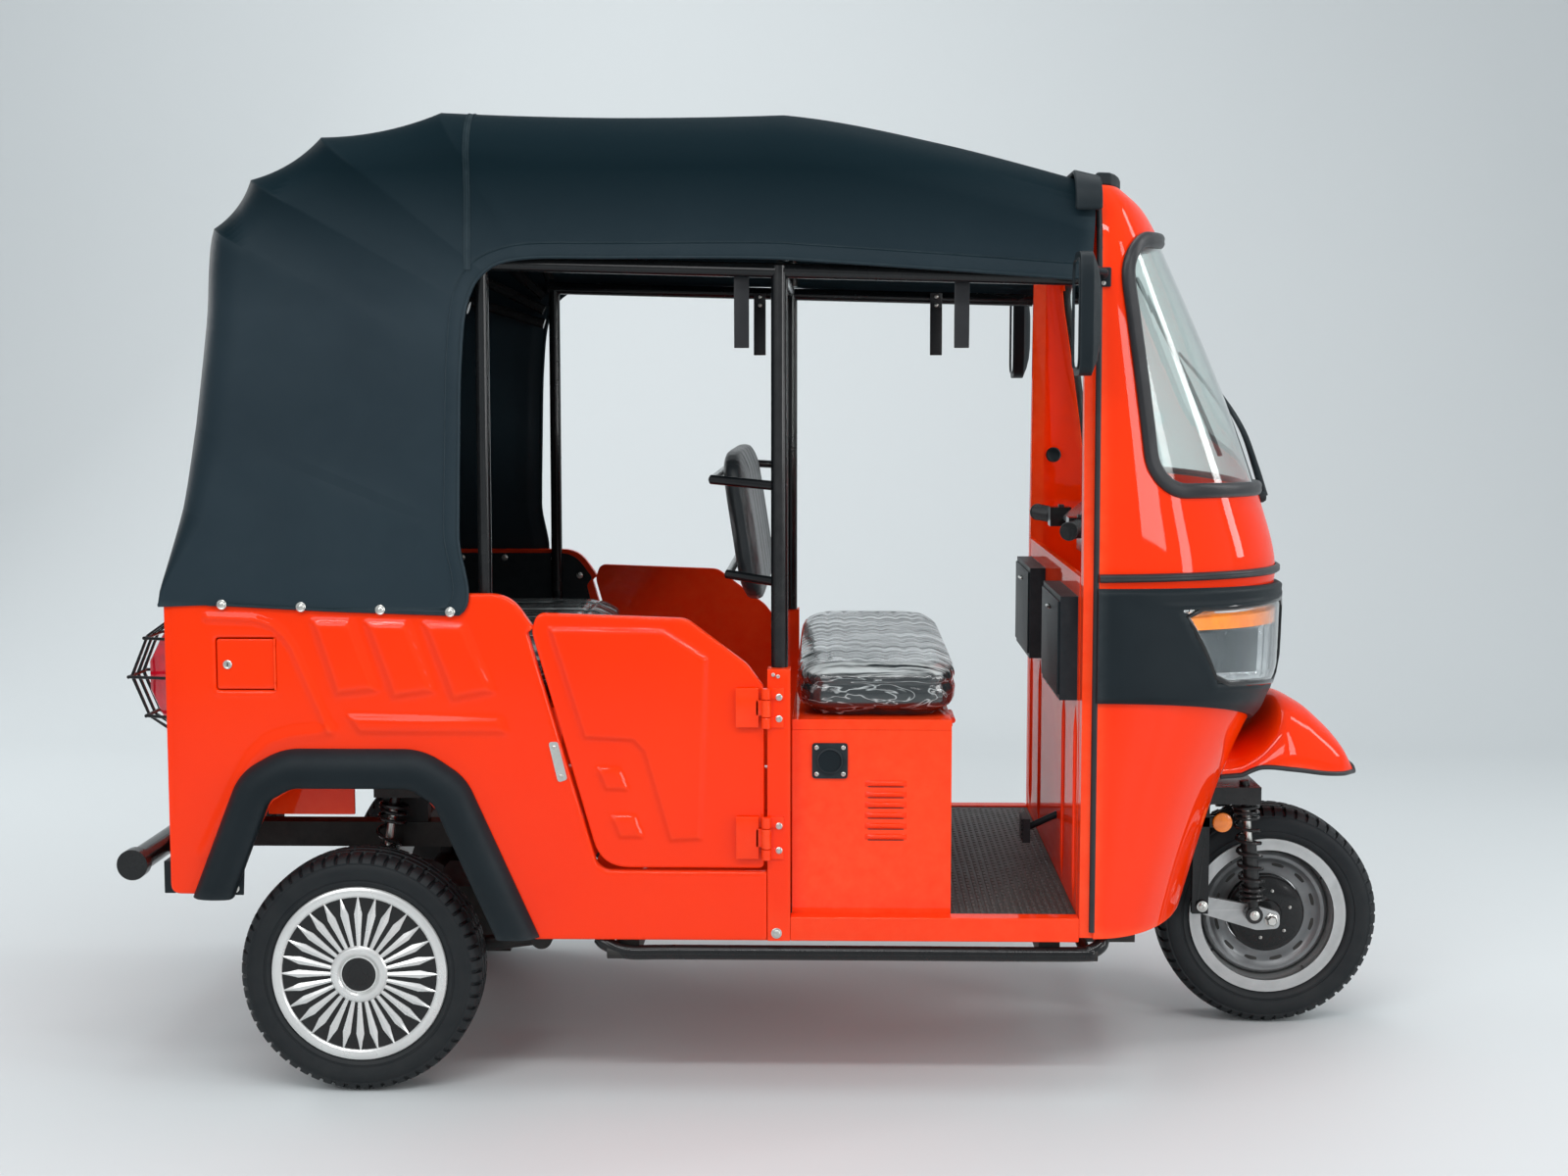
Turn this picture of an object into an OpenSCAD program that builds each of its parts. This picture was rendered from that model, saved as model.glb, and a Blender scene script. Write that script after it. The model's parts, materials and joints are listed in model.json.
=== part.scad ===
// Auto rickshaw: a three-wheeled passenger vehicle with a fabric canopy.
// +X is forward, +Y is the vehicle's left and +Z is up. The ground is at z = 0.
// The origin lies on the ground, midway along the length and on the centre plane.

/* [Overall] */
// Distance between the rear and front axles
wheelbase = 1840; // [1780:10:2210]
// Rear axle to the back of the bumper
rear_overhang = 470; // [450:5:570]
// Width over the painted body sides
body_w = 1140; // [1060:10:1370]
// Height of the highest canopy bow above the ground
roof_z = 1872; // [1800:4:2250]
// Height of the side openings' upper edge
eave_z = 1595; // [1560:5:1610]

/* [Wheels] */
// Outer diameter of the tyres
tyre_d = 467; // [440:1:480]
// Section width of the tyres
tyre_w = 125; // [105:1:135]
// Flange diameter of the rims
rim_d = 335; // [310:1:345]
// Distance between the middles of the rear tyres
track = 990; // [960:2:1000]
// Diameter of the rear axle shaft inside the hub
hub_bore_d = 40; // [30:1:48]
// Play between a shaft and its bore, on the radius
shaft_play = 0.06; // [0.02:0.01:0.1]

/* [Steering] */
// Rake of the steering axis from upright, in degrees
rake = 20; // [16:0.5:24]
// Distance by which the steering axis meets the ground ahead of the contact patch
trail = 23; // [5:1:60]
// Diameter of the steering stem
stem_d = 32; // [25:1:38]
// Steering angle to either side, in degrees
steer_limit = 40; // [20:1:42]
// Distance between the handlebar ends
bar_w = 660; // [540:10:720]

/* [Body] */
// Underside of the painted body
sill_z = 308; // [290:2:330]
// Top of the floor mat
floor_z = 352; // [345:1:380]
// Top edge of the body sides
side_top_z = 970; // [940:5:1010]
// Thickness of body sides and doors
panel_t = 25; // [15:1:30]
// Gap round each door and flap
door_gap = 6; // [5:0.5:10]
// Thickness of the front cowl
cowl_t = 12; // [6:1:18]
// Thickness of the canopy
canopy_t = 6; // [3:0.5:8]
// Diameter of the roof frame tubes
roof_tube_d = 28; // [20:1:32]

/* [Seats] */
// Thickness of the driver's cushion
driver_pad_t = 108; // [80:2:130]
// Height of the driver's seat box above the floor
seat_box_h = 356; // [300:2:380]
// Length of the driver's seat box from back to front
seat_box_l = 304; // [280:2:320]
// Thickness of the passenger cushion
bench_pad_t = 104; // [80:2:120]

/* [Hidden] */

tyre_r = tyre_d / 2;
overall_l = rear_overhang + wheelbase + tyre_r;
rear_x = rear_overhang - overall_l / 2;
front_x = rear_x + wheelbase;
side_y = body_w / 2;
inner_y = side_y - panel_t;
seat = 0.3;
soft_gap = 0.5;

// Colours
paint = "orangered";
black = [0.09, 0.1, 0.11];
rubber = [0.06, 0.06, 0.07];
steel = "silver";

// ---------- helpers ----------

// Both sides of the vehicle
module both() {
    children();
    mirror([0, 1, 0]) children();
}

// A side-view outline (x, z) given thickness from y0 to y1
module slab(y0, y1) {
    translate([0, y1, 0]) rotate([90, 0, 0]) linear_extrude(y1 - y0) children();
}

// A box from its two corners
module block(low, high) {
    translate(low) cube(high - low);
}

// A round bar between two points
module bar(a, b, r, sides = 32) {
    d = b - a;
    length = norm(d);
    translate(a) rotate([0, acos(d[2] / length), atan2(d[1], d[0])]) cylinder(h = length, r = r, $fn = sides);
}

// A bar across the vehicle, centred on the middle plane
module cross_bar(x, z, half_w, r) {
    translate([x, half_w, z]) rotate([90, 0, 0]) cylinder(h = 2 * half_w, r = r, $fn = 32);
}

// A curve that rounds one corner, from a towards c around b
function corner(a, b, c, r, steps) =
    let (
        u = (a - b) / norm(a - b),
        v = (c - b) / norm(c - b),
        reach = min(r, 0.48 * norm(a - b), 0.48 * norm(c - b))
    )
    r == 0 ? [b] : [for (k = [0:steps])
        let (t = k / steps)
        (1 - t) ^ 2 * (b + u * reach) + 2 * t * (1 - t) * b + t ^ 2 * (b + v * reach)];

// An outline of [x, y, radius] corners as a list of points
function rounded(outline, steps = 5) =
    let (n = len(outline), p = [for (o = outline) [o[0], o[1]]])
    [for (i = [0:n - 1]) each corner(p[(i + n - 1) % n], p[i], p[(i + 1) % n], outline[i][2], steps)];

// Point i of an open line, moved sideways by d to the line's right
function beside(line, i, d) =
    let (
        last = len(line) - 1,
        before = i == 0 ? line[1] - line[0] : line[i] - line[i - 1],
        after = i == last ? line[last] - line[last - 1] : line[i + 1] - line[i],
        u = before / norm(before),
        v = after / norm(after),
        n = [u[1] + v[1], -u[0] - v[0]] / norm([u[1] + v[1], -u[0] - v[0]])
    )
    line[i] + n * d / (n * [u[1], -u[0]]);

// A closed shell between two grids of points, made where keep(i, j) says that a cell is present. Seen from
// outside, rows go up and columns go to the right.
module grid_shell(outer, inner, keep) {
    rows = len(outer);
    cols = len(outer[0]);
    in0 = rows * cols;
    there = function(i, j) i >= 0 && j >= 0 && i < rows - 1 && j < cols - 1 && keep(i, j);
    at = function(i, j) i * cols + j;
    faces = [for (i = [0:rows - 2]) for (j = [0:cols - 2]) if (keep(i, j))
        let (a = at(i, j), b = at(i, j + 1), c = at(i + 1, j + 1), d = at(i + 1, j))
        each concat(
            [[a, c, b], [a, d, c], [in0 + a, in0 + b, in0 + c], [in0 + a, in0 + c, in0 + d]],
            there(i - 1, j) ? [] : [[a, in0 + b, in0 + a], [a, b, in0 + b]],
            there(i, j + 1) ? [] : [[b, in0 + c, in0 + b], [b, c, in0 + c]],
            there(i + 1, j) ? [] : [[c, in0 + d, in0 + c], [c, d, in0 + d]],
            there(i, j - 1) ? [] : [[d, in0 + a, in0 + d], [d, a, in0 + a]]
        )];
    polyhedron(points = concat([for (row = outer) each row], [for (row = inner) each row]), faces = faces);
}

// ---------- body sides and doors ----------

post_x0 = rear_x + 787;
post_x1 = post_x0 + 43;
hinge_x = post_x0 - 2;
hinge_y = side_y + 9;
door_front_x = post_x0 - door_gap;
door_top_z = 934;
door_bottom_z = 447;
hinge_zs = [[467, 548], [719, 794]];
arch_top_z = tyre_d + 133;
body_rear_x = rear_x - 355;
cab_x = front_x - 435;
step_x = cab_x;

function arch_inner() = [
    [rear_x + 285, sill_z + 12, 0], [rear_x + 163, arch_top_z - 50, 40], [rear_x + 118, arch_top_z, 40],
    [rear_x - 114, arch_top_z, 40], [rear_x - 163, arch_top_z - 32, 40], [rear_x - 246, 394, 0]];

function door_outline() = rounded([
    [door_front_x, door_bottom_z, 12], [rear_x + 470, door_bottom_z, 70], [rear_x + 341, 900, 40],
    [rear_x + 352, door_top_z, 20], [rear_x + 634, door_top_z - 10, 40],
    [rear_x + 748, door_top_z - 96, 50], [door_front_x, door_top_z - 140, 30]]);

module door_opening() {
    offset(delta = door_gap) polygon(door_outline());
    polygon([[rear_x + 335, 900], [rear_x + 348, side_top_z + 9], [post_x0 - 1, side_top_z + 9],
        [post_x0 - 1, door_bottom_z - door_gap], [rear_x + 480, door_bottom_z - door_gap]]);
}

module side_outline() {
    difference() {
        polygon(rounded([
            [body_rear_x, 393, 20], [rear_x - 246, 392, 0], [rear_x - 163, arch_top_z - 32, 40],
            [rear_x - 114, arch_top_z, 40], [rear_x + 118, arch_top_z, 40], [rear_x + 163, arch_top_z - 50, 40],
            [rear_x + 285, sill_z + 12, 0], [rear_x + 335, sill_z, 20], [post_x0 - 1, sill_z, 0],
            [post_x0 - 1, 440, 0], [rear_x + 430, 600, 0],
            [rear_x + 330, 895, 10], [rear_x + 300, side_top_z, 90], [body_rear_x, side_top_z, 10]]));
        door_opening();
    }
}

module side_panel() {
    slab(inner_y, side_y) side_outline();
}

// Charging flap in the right side panel
flap_x0 = rear_x - 255;
flap_x1 = flap_x0 + 110;
flap_z0 = 789;
flap_z1 = 884;
flap_t = 8;
flap_gap = 3;
pocket_d = 20;
flap_hinge_y = side_y + 3;
flap_knuckle_r = 3.4;
flap_pin_r = 1.6;

module side_panel_right() {
    color(paint) mirror([0, 1, 0]) difference() {
        side_panel();
        block([flap_x0 - flap_gap, side_y - pocket_d, flap_z0 - flap_gap],
            [flap_x1 + flap_gap, side_y + 1, flap_z1 + flap_gap]);
    }
    color(paint) {
        translate([flap_x1, -flap_hinge_y, flap_z0 - 2]) cylinder(h = flap_z1 - flap_z0 + 4, r = flap_pin_r, $fn = 24);
        for (z = [flap_z0 - 2, flap_z1 - 13]) {
            translate([flap_x1, -flap_hinge_y, z]) cylinder(h = 15, r = flap_knuckle_r, $fn = 24);
            block([flap_x1, -flap_hinge_y - 1.5, z], [flap_x1 + 14, -side_y + 1, z + 15]);
        }
    }
}

module side_panel_left() {
    color(paint) side_panel();
}

module charge_flap() {
    color(paint) difference() {
        union() {
            block([flap_x0, -side_y, flap_z0], [flap_x1 - 2, -side_y + flap_t, flap_z1]);
            translate([flap_x1, -flap_hinge_y, flap_z0 + 18]) cylinder(h = flap_z1 - flap_z0 - 36, r = flap_knuckle_r, $fn = 24);
            block([flap_x1 - 12, -flap_hinge_y - 1.5, flap_z0 + 18], [flap_x1, -side_y + 1, flap_z1 - 18]);
        }
        translate([flap_x1, -flap_hinge_y, flap_z0]) cylinder(h = flap_z1 - flap_z0, r = flap_pin_r + shaft_play, $fn = 24);
    }
}

knuckle_r = 9;
pin_r = 4;

module door() {
    difference() {
        union() {
            slab(inner_y, side_y) polygon(door_outline());
            for (h = hinge_zs) {
                block([hinge_x - 58, side_y - 1, h[0]], [hinge_x - 12, side_y + 3, h[1]]);
                block([hinge_x - 13, side_y - 1, h[0] + 22], [hinge_x, side_y + 3, h[1] - 22]);
                translate([hinge_x, hinge_y, h[0] + 22]) cylinder(h = h[1] - h[0] - 44, r = knuckle_r, $fn = 32);
            }
        }
        for (h = hinge_zs)
            translate([hinge_x, hinge_y, h[0]]) cylinder(h = h[1] - h[0], r = pin_r + shaft_play, $fn = 32);
    }
}

module door_right() {
    color(paint) mirror([0, 1, 0]) door();
}

module door_left() {
    color(paint) door();
}

module hinge_post() {
    block([post_x0, inner_y - 20, sill_z], [post_x1, side_y, 829]);
    for (h = hinge_zs) {
        translate([hinge_x, hinge_y, h[0]]) cylinder(h = h[1] - h[0], r = pin_r, $fn = 32);
        for (z = [h[0], h[1] - 20])
            translate([0, 0, z]) difference() {
                union() {
                    translate([hinge_x, hinge_y, 0]) cylinder(h = 20, r = knuckle_r, $fn = 32);
                    block([hinge_x + 5, side_y - 1, 0], [post_x1 - 12, side_y + 4, 20]);
                }
                translate([hinge_x, hinge_y, -1]) cylinder(h = 22, r = pin_r - 1, $fn = 32);
            }
    }
}

module hinge_posts() {
    color(paint) both() hinge_post();
}

module tail_panel() {
    color(paint) difference() {
        block([body_rear_x, -inner_y, 393], [body_rear_x + panel_t, inner_y, side_top_z]);
        block([body_rear_x - 1, -230, 520], [body_rear_x + 8, 230, 660]);
    }
}

flare_t = 36;

module flare() {
    slab(side_y, side_y + flare_t) polygon(rounded([
        [rear_x - 246, 394, 0], [rear_x - 163, arch_top_z - 32, 40], [rear_x - 114, arch_top_z, 40],
        [rear_x + 118, arch_top_z, 40], [rear_x + 163, arch_top_z - 50, 40], [rear_x + 285, sill_z + 12, 0],
        [rear_x + 334, sill_z + 24, 10], [rear_x + 208, arch_top_z + 34, 60], [rear_x + 128, arch_top_z + 78, 60],
        [rear_x - 131, arch_top_z + 78, 60], [rear_x - 210, arch_top_z + 24, 60], [rear_x - 290, 394, 0]]));
}

module wheel_flares() {
    color(black) both() flare();
}

// ---------- floor, chassis and deck ----------

rail_y = 330;
rail_w = 50;
axle_z = tyre_r;
deck_z = arch_top_z - 4;
rail_rear_z = axle_z + 207;
rail_front_x = step_x + 110;

floor_end = cab_x - 26.5;
lip_y = side_y - 38;

module floor_pan() {
    color(paint) {
        block([rear_x + 400, -inner_y, sill_z], [post_x0 - seat, inner_y, sill_z + 32]);
        block([post_x0 - 1, -inner_y + 20 + seat, sill_z], [floor_end, inner_y - 20 - seat, sill_z + 32]);
        both() {
            block([post_x1 + seat, inner_y - 22, sill_z], [floor_end, side_y, sill_z + 32]);
            block([post_x1 + seat, lip_y, sill_z], [floor_end, side_y, floor_z + 2]);
        }
    }
}

module floor_mat() {
    color(rubber) block([post_x1 + seat, -lip_y + seat, sill_z + 32], [floor_end, lip_y - seat, floor_z]);
}

module rail() {
    slab(rail_y - rail_w / 2, rail_y + rail_w / 2) polygon([
        [rail_front_x, sill_z], [rear_x + 400, sill_z], [rear_x + 215, rail_rear_z + 50],
        [body_rear_x + panel_t, rail_rear_z + 50], [body_rear_x + panel_t, rail_rear_z],
        [rear_x + 190, rail_rear_z], [rear_x + 385, sill_z - 55], [rail_front_x, sill_z - 55]]);
}

step_r = 13;
stem_x = function(z) front_x + trail - z * tan(rake);
head_z0 = tyre_d + 93;
head_z1 = head_z0 + 250;
stem_r = stem_d / 2;
stem_dir = [-sin(rake), 0, cos(rake)];

module chassis_frame() {
    color(black) {
        both() rail();
        // cross members under the floor, in front of and behind the axle, and at the tail
        for (x = [rear_x + 440, post_x0, step_x - 150, rail_front_x - 50])
            block([x, -rail_y, sill_z - 50], [x + 45, rail_y, sill_z - 5]);
        block([body_rear_x + panel_t, -inner_y, rail_rear_z + 5], [body_rear_x + panel_t + 40, inner_y, rail_rear_z + 45]);
        block([rear_x + 40, -rail_y, rail_rear_z + 5], [rear_x + 85, rail_y, rail_rear_z + 45]);
        // outriggers to the sills
        for (x = [rear_x + 500, step_x - 100])
            block([x, -inner_y, sill_z - 40], [x + 40, inner_y, sill_z]);
        // spring towers under the deck
        both() difference() {
            block([rear_x + 10, rail_y - 10, rail_rear_z + 50], [rear_x + 100, rail_y + 110, deck_z]);
            block([rear_x + 0, rail_y + 20, rail_rear_z + 49], [rear_x + 110, rail_y + 111, deck_z - 40]);
        }
        // step bars along the sills
        both() {
            step_y = side_y - 12;
            bar([rear_x + 480, step_y, sill_z - 26], [step_x + 10, step_y, sill_z - 26], step_r);
            bar([rear_x + 500, rail_y + 20, sill_z - 26], [rear_x + 500, step_y, sill_z - 26], step_r - 2);
            bar([step_x - 10, rail_y + 20, sill_z - 26], [step_x - 10, step_y, sill_z - 26], step_r - 2);
        }
        // uprights, a bridge and arms that carry the steering head
        both() {
            block([bridge_x - 20, rail_y - 22, sill_z - 30], [bridge_x + 20, rail_y + 18, head_z0 + 95]);
        }
        block([bridge_x - 18, -rail_y, head_z0 + 60], [bridge_x + 18, rail_y, head_z0 + 100]);
        difference() {
            union() {
                bar([stem_x(head_z0), 0, head_z0], [stem_x(head_z1), 0, head_z1], stem_r + 9);
                both() bar([bridge_x, 150, head_z0 + 80], [stem_x(head_z0 + 50) - 8, 12, head_z0 + 50], 15);
            }
            bar([stem_x(head_z0), 0, head_z0] - 5 * stem_dir, [stem_x(head_z1), 0, head_z1] + 5 * stem_dir,
                stem_r + shaft_play);
        }
        tow_eye();
    }
}

bridge_x = cab_x + 60;

tow_bore_r = 12;
tow_t = 12;
tow_z = 372;

// Tow eye under the tail, with an upright hole
module tow_eye() {
    difference() {
        block([body_rear_x - 50, -35, tow_z], [body_rear_x + panel_t + 40, 35, tow_z + tow_t]);
        translate([body_rear_x - 20, 0, tow_z - 2]) cylinder(h = tow_t + 4, r = tow_bore_r, $fn = 48);
    }
    block([body_rear_x + panel_t + 25, -35, tow_z], [body_rear_x + panel_t + 40, 35, rail_rear_z + 20]);
}

bench_front_x = rear_x + 395;
bench_z = 752;

module rear_deck() {
    color(paint) difference() {
        union() {
            block([body_rear_x + panel_t, -inner_y, deck_z], [bench_front_x, inner_y, deck_z + 12]);
            block([bench_front_x - 15, -inner_y, sill_z + 32], [bench_front_x, inner_y, bench_z]);
            block([rear_x - 150, -inner_y + 1, bench_z - 15], [bench_front_x, inner_y - 1, bench_z]);
            block([rear_x - 150, -inner_y + 1, deck_z], [rear_x - 135, inner_y - 1, bench_z]);
            both() block([rear_x - 200, 424, deck_z - 75], [rear_x - 30, 432, deck_z]);
        }
        block([rear_x + 190, -inner_y - 1, sill_z], [bench_front_x - 15, inner_y + 1, deck_z - 1]);
    }
}

module passenger_seat() {
    color(black) {
        hull() {
            block([rear_x - 40, -inner_y + 37, bench_z + seat],
                [bench_front_x + 25, inner_y - 37, bench_z + bench_pad_t - 26]);
            block([rear_x - 25, -inner_y + 60, bench_z + 20], [bench_front_x - 5, inner_y - 60, bench_z + bench_pad_t]);
        }
        hull() {
            block([rear_x - 125, -inner_y + 45, bench_z + seat], [rear_x - 41, inner_y - 45, bench_z + 60]);
            block([rear_x - 228, -inner_y + 70, 1310], [rear_x - 160, inner_y - 70, 1340]);
            block([rear_x - 190, -inner_y + 50, 1050], [rear_x - 82, inner_y - 50, 1090]);
        }
    }
}

// ---------- roof ----------

canopy_y = side_y + canopy_t + 1;
shoulder_r = 95;
function canopy_corner(z) = min(shoulder_r, lookup(z, [[975, canopy_t + 1], [1130, 62], [1290, 90]]));
canopy_front_x = front_x - 445;

// Silhouette of the canopy on the middle plane, from the front, over the top and down the back
function crest() = [
    [canopy_front_x, roof_z - 134], [canopy_front_x - 282, roof_z - 60], [rear_x + 816, roof_z - 6],
    [rear_x + 490, roof_z - 4], [rear_x + 172, roof_z], [rear_x - 55, roof_z - 45], [rear_x - 190, roof_z - 124],
    [rear_x - 262, roof_z - 215], [rear_x - 280, 1480], [rear_x - 304, 1290], [rear_x - 326, 1130],
    [rear_x - 361, 975], [rear_x - 366, 945]];

// Lower edge of the side cloth that belongs to each point of the crest
function hem() = [
    [canopy_front_x - 10, eave_z - 40], [canopy_front_x - 282, eave_z - 20], [rear_x + 816, eave_z],
    [rear_x + 490, eave_z + 2], [rear_x + 330, eave_z], [rear_x + 262, eave_z - 25], [rear_x + 228, eave_z - 85],
    [rear_x + 215, eave_z - 200], [rear_x + 210, 1230], [rear_x + 207, 1080], [rear_x + 205, 932],
    [rear_x - 40, 940], [rear_x - 240, 950]];

// One rib of the canopy from the right hem over the shoulders to the left hem
function rib(low, high, half_w, r) =
    let (
        d = high - low,
        reach = norm(d),
        u = d / reach,
        turn = min(r, reach * 0.8),
        half = concat(
            [for (k = [0:2]) [(reach - turn) * k / 2, half_w]],
            [for (a = [18:18:90]) [reach - turn + turn * sin(a), half_w - turn * (1 - cos(a))]]),
        right = [for (p = half) [low[0] + u[0] * p[0], -p[1], low[1] + u[1] * p[0]]],
        n = len(right)
    )
    concat(right, [for (k = [n - 1:-1:0]) [right[k][0], -right[k][1], right[k][2]]]);

module canopy() {
    outline = crest();
    edge = hem();
    last = len(outline) - 1;
    color([0.13, 0.17, 0.2]) grid_shell(
        [for (i = [0:last]) rib(edge[i], outline[i], canopy_y, canopy_corner(outline[i][1]))],
        [for (i = [0:last])
            rib(edge[i], beside(outline, i, -canopy_t), canopy_y - canopy_t, canopy_corner(outline[i][1]) - canopy_t)],
        function(i, j) true);
}

roof_r = roof_tube_d / 2;
rail_roof_y = inner_y - roof_r - 0.5;
pillar_x = post_x0 + 22;
bow_r = roof_r - 2;

// Centre of the roof bow under point i of the crest
function bow(i) = beside(crest(), i, -(canopy_t + seat + bow_r));

// A tube bent like a rib, from low on the right to low on the left
module hoop(low, high, half_w, turn, r, sides = 10) {
    d = (high - low) / norm(high - low);
    lines = [for (k = [0:sides - 1])
        let (a = r * cos(360 * k / sides), b = r * sin(360 * k / sides))
        [for (p = rib(low, high + d * a, half_w + a, turn + a)) p + b * [-d[1], 0, d[0]]]];
    n = len(lines[0]);
    polyhedron(points = [for (line = lines) each line], faces = concat(
        [for (k = [0:sides - 1]) for (i = [0:n - 2])
            let (m = (k + 1) % sides)
            each [[k * n + i, k * n + i + 1, m * n + i + 1], [k * n + i, m * n + i + 1, m * n + i]]],
        [[for (k = [0:sides - 1]) k * n]],
        [[for (k = [sides - 1:-1:0]) k * n + n - 1]]));
}

module roof_frame() {
    eave = eave_z - 5;
    color(black) both() {
        // side rails, B-pillars and rear stanchions
        bar([rear_x + 235, rail_roof_y, eave], [wall_x - 1, rail_roof_y, eave - 30], roof_r);
        bar([pillar_x, rail_roof_y, 829 + seat], [pillar_x, rail_roof_y, eave - 6], roof_r + 2);
        bar([rear_x + 250, rail_roof_y, bench_z + seat], [rear_x + 250, rail_roof_y, eave], roof_r - 1);
    }
    color(black) {
        cross_bar(pillar_x, eave_z - 14, rail_roof_y, roof_r - 3);
        // bars that carry the driver's backrest
        for (z = [1000, 1182]) {
            x = rest_x - (z - 932) * 0.167 - 35;
            cross_bar(x, z, rail_roof_y - 60, 8);
            both() bar([x - 3, rail_roof_y - 66, z], [pillar_x, rail_roof_y - 2, z - 10], 9);
        }
    }
}

// Bows that stand on the side rails and the rear stanchions
module roof_bows() {
    eave = eave_z - 5;
    color(black) for (i = [2, 4, 5, 6, 7]) hoop(
        i == 2 ? [bow(i)[0], eave + 3]
        : i == 4 ? [rear_x + 240, eave + roof_r + 5]
        : [rear_x + 250 - roof_r - 10, eave - 20 - (i - 5) * 32],
        bow(i), rail_roof_y, 84, bow_r);
}

strap_w = 30;

module hand_straps() {
    strap_y = rail_roof_y - roof_r - 0.4;
    color(black) both() for (x = [rear_x + 722, rear_x + 1136]) {
        block([x, strap_y - 4, eave_z - 60], [x + strap_w, strap_y, eave_z - 14]);
        block([x + 1, strap_y - 16, eave_z - 168], [x + strap_w - 1, strap_y - 3, eave_z - 56]);
    }
}

// ---------- front cowl ----------

// Front of the cowl on the middle plane, measured from the front axle, by height
function nose(z) = lookup(z, [[300, -201], [551, -121], [642, -83], [721, -45], [805, -18], [948, -13],
    [985, -9], [1130, -44], [1655, -274], [1700, -303], [1735, -350], [1768, -415]]);
function cowl_half_w(z) = side_y - lookup(z, [[300, 0], [1000, 0], [1300, 6], [1600, 16], [1700, 45], [1768, 110]]);
function roundness(z) = lookup(z, [[300, 2], [642, 2.1], [800, 2.15], [1000, 2.15], [1655, 2.15], [1768, 2.1]]);

// A point on the cowl: turn is 0 at the nose and 90 at the door edge, and inset goes inwards
function cowl_point(turn, z, inset) =
    let (
        a = front_x + nose(z) - cab_x,
        b = cowl_half_w(z),
        e = 2 / roundness(z),
        c = abs(cos(turn)),
        s = abs(sin(turn)),
        x = a * c ^ e,
        y = b * s ^ e,
        nx = c ^ (2 - e) / a,
        ny = s ^ (2 - e) / b,
        n = norm([nx, ny])
    )
    [cab_x + max(0, x - inset * nx / n), sign(turn) * (y - inset * ny / n), z];

// Rows of the cowl as [height at the door edge, height at the nose]
cowl_rows = [[315, 315], [440, 440], [575, 560], [767, 642], [800, 735], [875, 840], [948, 937], [983, 955], [1008, 985],
    [1080, 1070], [1165, 1150], [1280, 1280], [1400, 1400], [1520, 1520], [1632, 1655], [1690, 1690], [1735, 1735]];
arch_row = 2;
mask_rows = [3, 7];
glass_rows = [10, 14];
arch_half_w = 232;

// Columns, from the right door edge to the left: an edge column, the windscreen's width, and within it the
// width of the wheel arch
function glass_turn(z) = acos(min(0.3, lookup(z, [[1000, 112], [1165, 104], [1548, 50], [1632, 44]])
    / (front_x + nose(z) - cab_x)) ^ (roundness(z) / 2));
function arch_turn(z) = asin((arch_half_w / side_y) ^ (roundness(z) / 2));
side_steps = 5;
mid_steps = 6;
cowl_cols = 2 + 2 * side_steps + mid_steps;

function cowl_turn(j, glass, arch) =
    j > cowl_cols / 2 ? -cowl_turn(cowl_cols - j, glass, arch)
    : j == 0 ? -90
    : j <= 1 + side_steps ? -glass + (glass - arch) * (j - 1) / side_steps
    : -arch + 2 * arch * (j - 1 - side_steps) / mid_steps;

function in_glass(j) = j >= 1 && j < cowl_cols - 1;
function in_arch(j) = j > side_steps && j < cowl_cols - 1 - side_steps;

function cowl_grid(inset, rows, squeeze = 0) = [for (row = rows)
    let (glass = glass_turn(row[0]) * (1 - squeeze), arch = arch_turn(row[0]))
    [for (j = [0:cowl_cols])
        let (turn = cowl_turn(j, glass, arch), z = row[1] + (row[0] - row[1]) * abs(sin(turn)))
        cowl_point(turn, z, inset)]];

module cab_shell() {
    color(paint) {
        grid_shell(cowl_grid(0, cowl_rows), cowl_grid(cowl_t, cowl_rows),
            function(i, j) !(in_arch(j) && i < arch_row || in_glass(j) && i >= glass_rows[0] && i < glass_rows[1]));
        // roof header and door frame posts
        translate([cab_x - 26, 0, 0]) rotate([90, 0, 90]) linear_extrude(29) polygon([for (s = [-1, 1])
            each [for (z = s < 0 ? [1700, 1716] : [1716, 1700]) [s * (cowl_half_w(z) - 5), z]]]);
        both() hull() {
            block([cab_x - 26, side_y - 46, sill_z + 8], [cab_x + 3, side_y - 5, 1000]);
            block([cab_x - 26, side_y - 66, 1690], [cab_x + 3, cowl_half_w(1712) - 5, 1712]);
        }
    }
}

glass_t = 5;

module windscreen() {
    rows = [for (i = [glass_rows[0]:glass_rows[1]])
        cowl_rows[i] + (i == glass_rows[0] ? 1 : i == glass_rows[1] ? -1 : 0) * [0.4, 0.4]];
    color([0.6, 0.75, 0.75, 0.35]) grid_shell(cowl_grid(3, rows, 0.002), cowl_grid(3 + glass_t, rows, 0.002),
        function(i, j) in_glass(j));
}

mask_t = 18;

// Lamp windows in the mask, by cell
function in_lamp(i, j) = i >= 1 && i <= 2 && abs(j + 0.5 - cowl_cols / 2) > 2 && abs(j + 0.5 - cowl_cols / 2) < 7;

module front_mask() {
    rows = [for (i = [mask_rows[0]:mask_rows[1]]) cowl_rows[i]];
    color(black) grid_shell(cowl_grid(-mask_t, rows), cowl_grid(-seat, rows), function(i, j) !in_lamp(i, j));
}

// One lamp in its window of the mask, with a small gap all round
function lamp_grid(inset, first) = [for (k = [1:3])
    let (row = cowl_rows[mask_rows[0] + k] + (2 - k) * [0.5, 0.5], glass = glass_turn(row[0]), arch = arch_turn(row[0]))
    [for (j = [0:5])
        let (turn = cowl_turn(first + j, glass, arch) + (j == 0 ? 0.07 : j == 5 ? -0.07 : 0),
            z = row[1] + (row[0] - row[1]) * abs(sin(turn)))
        cowl_point(turn, z, inset)]];

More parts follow.
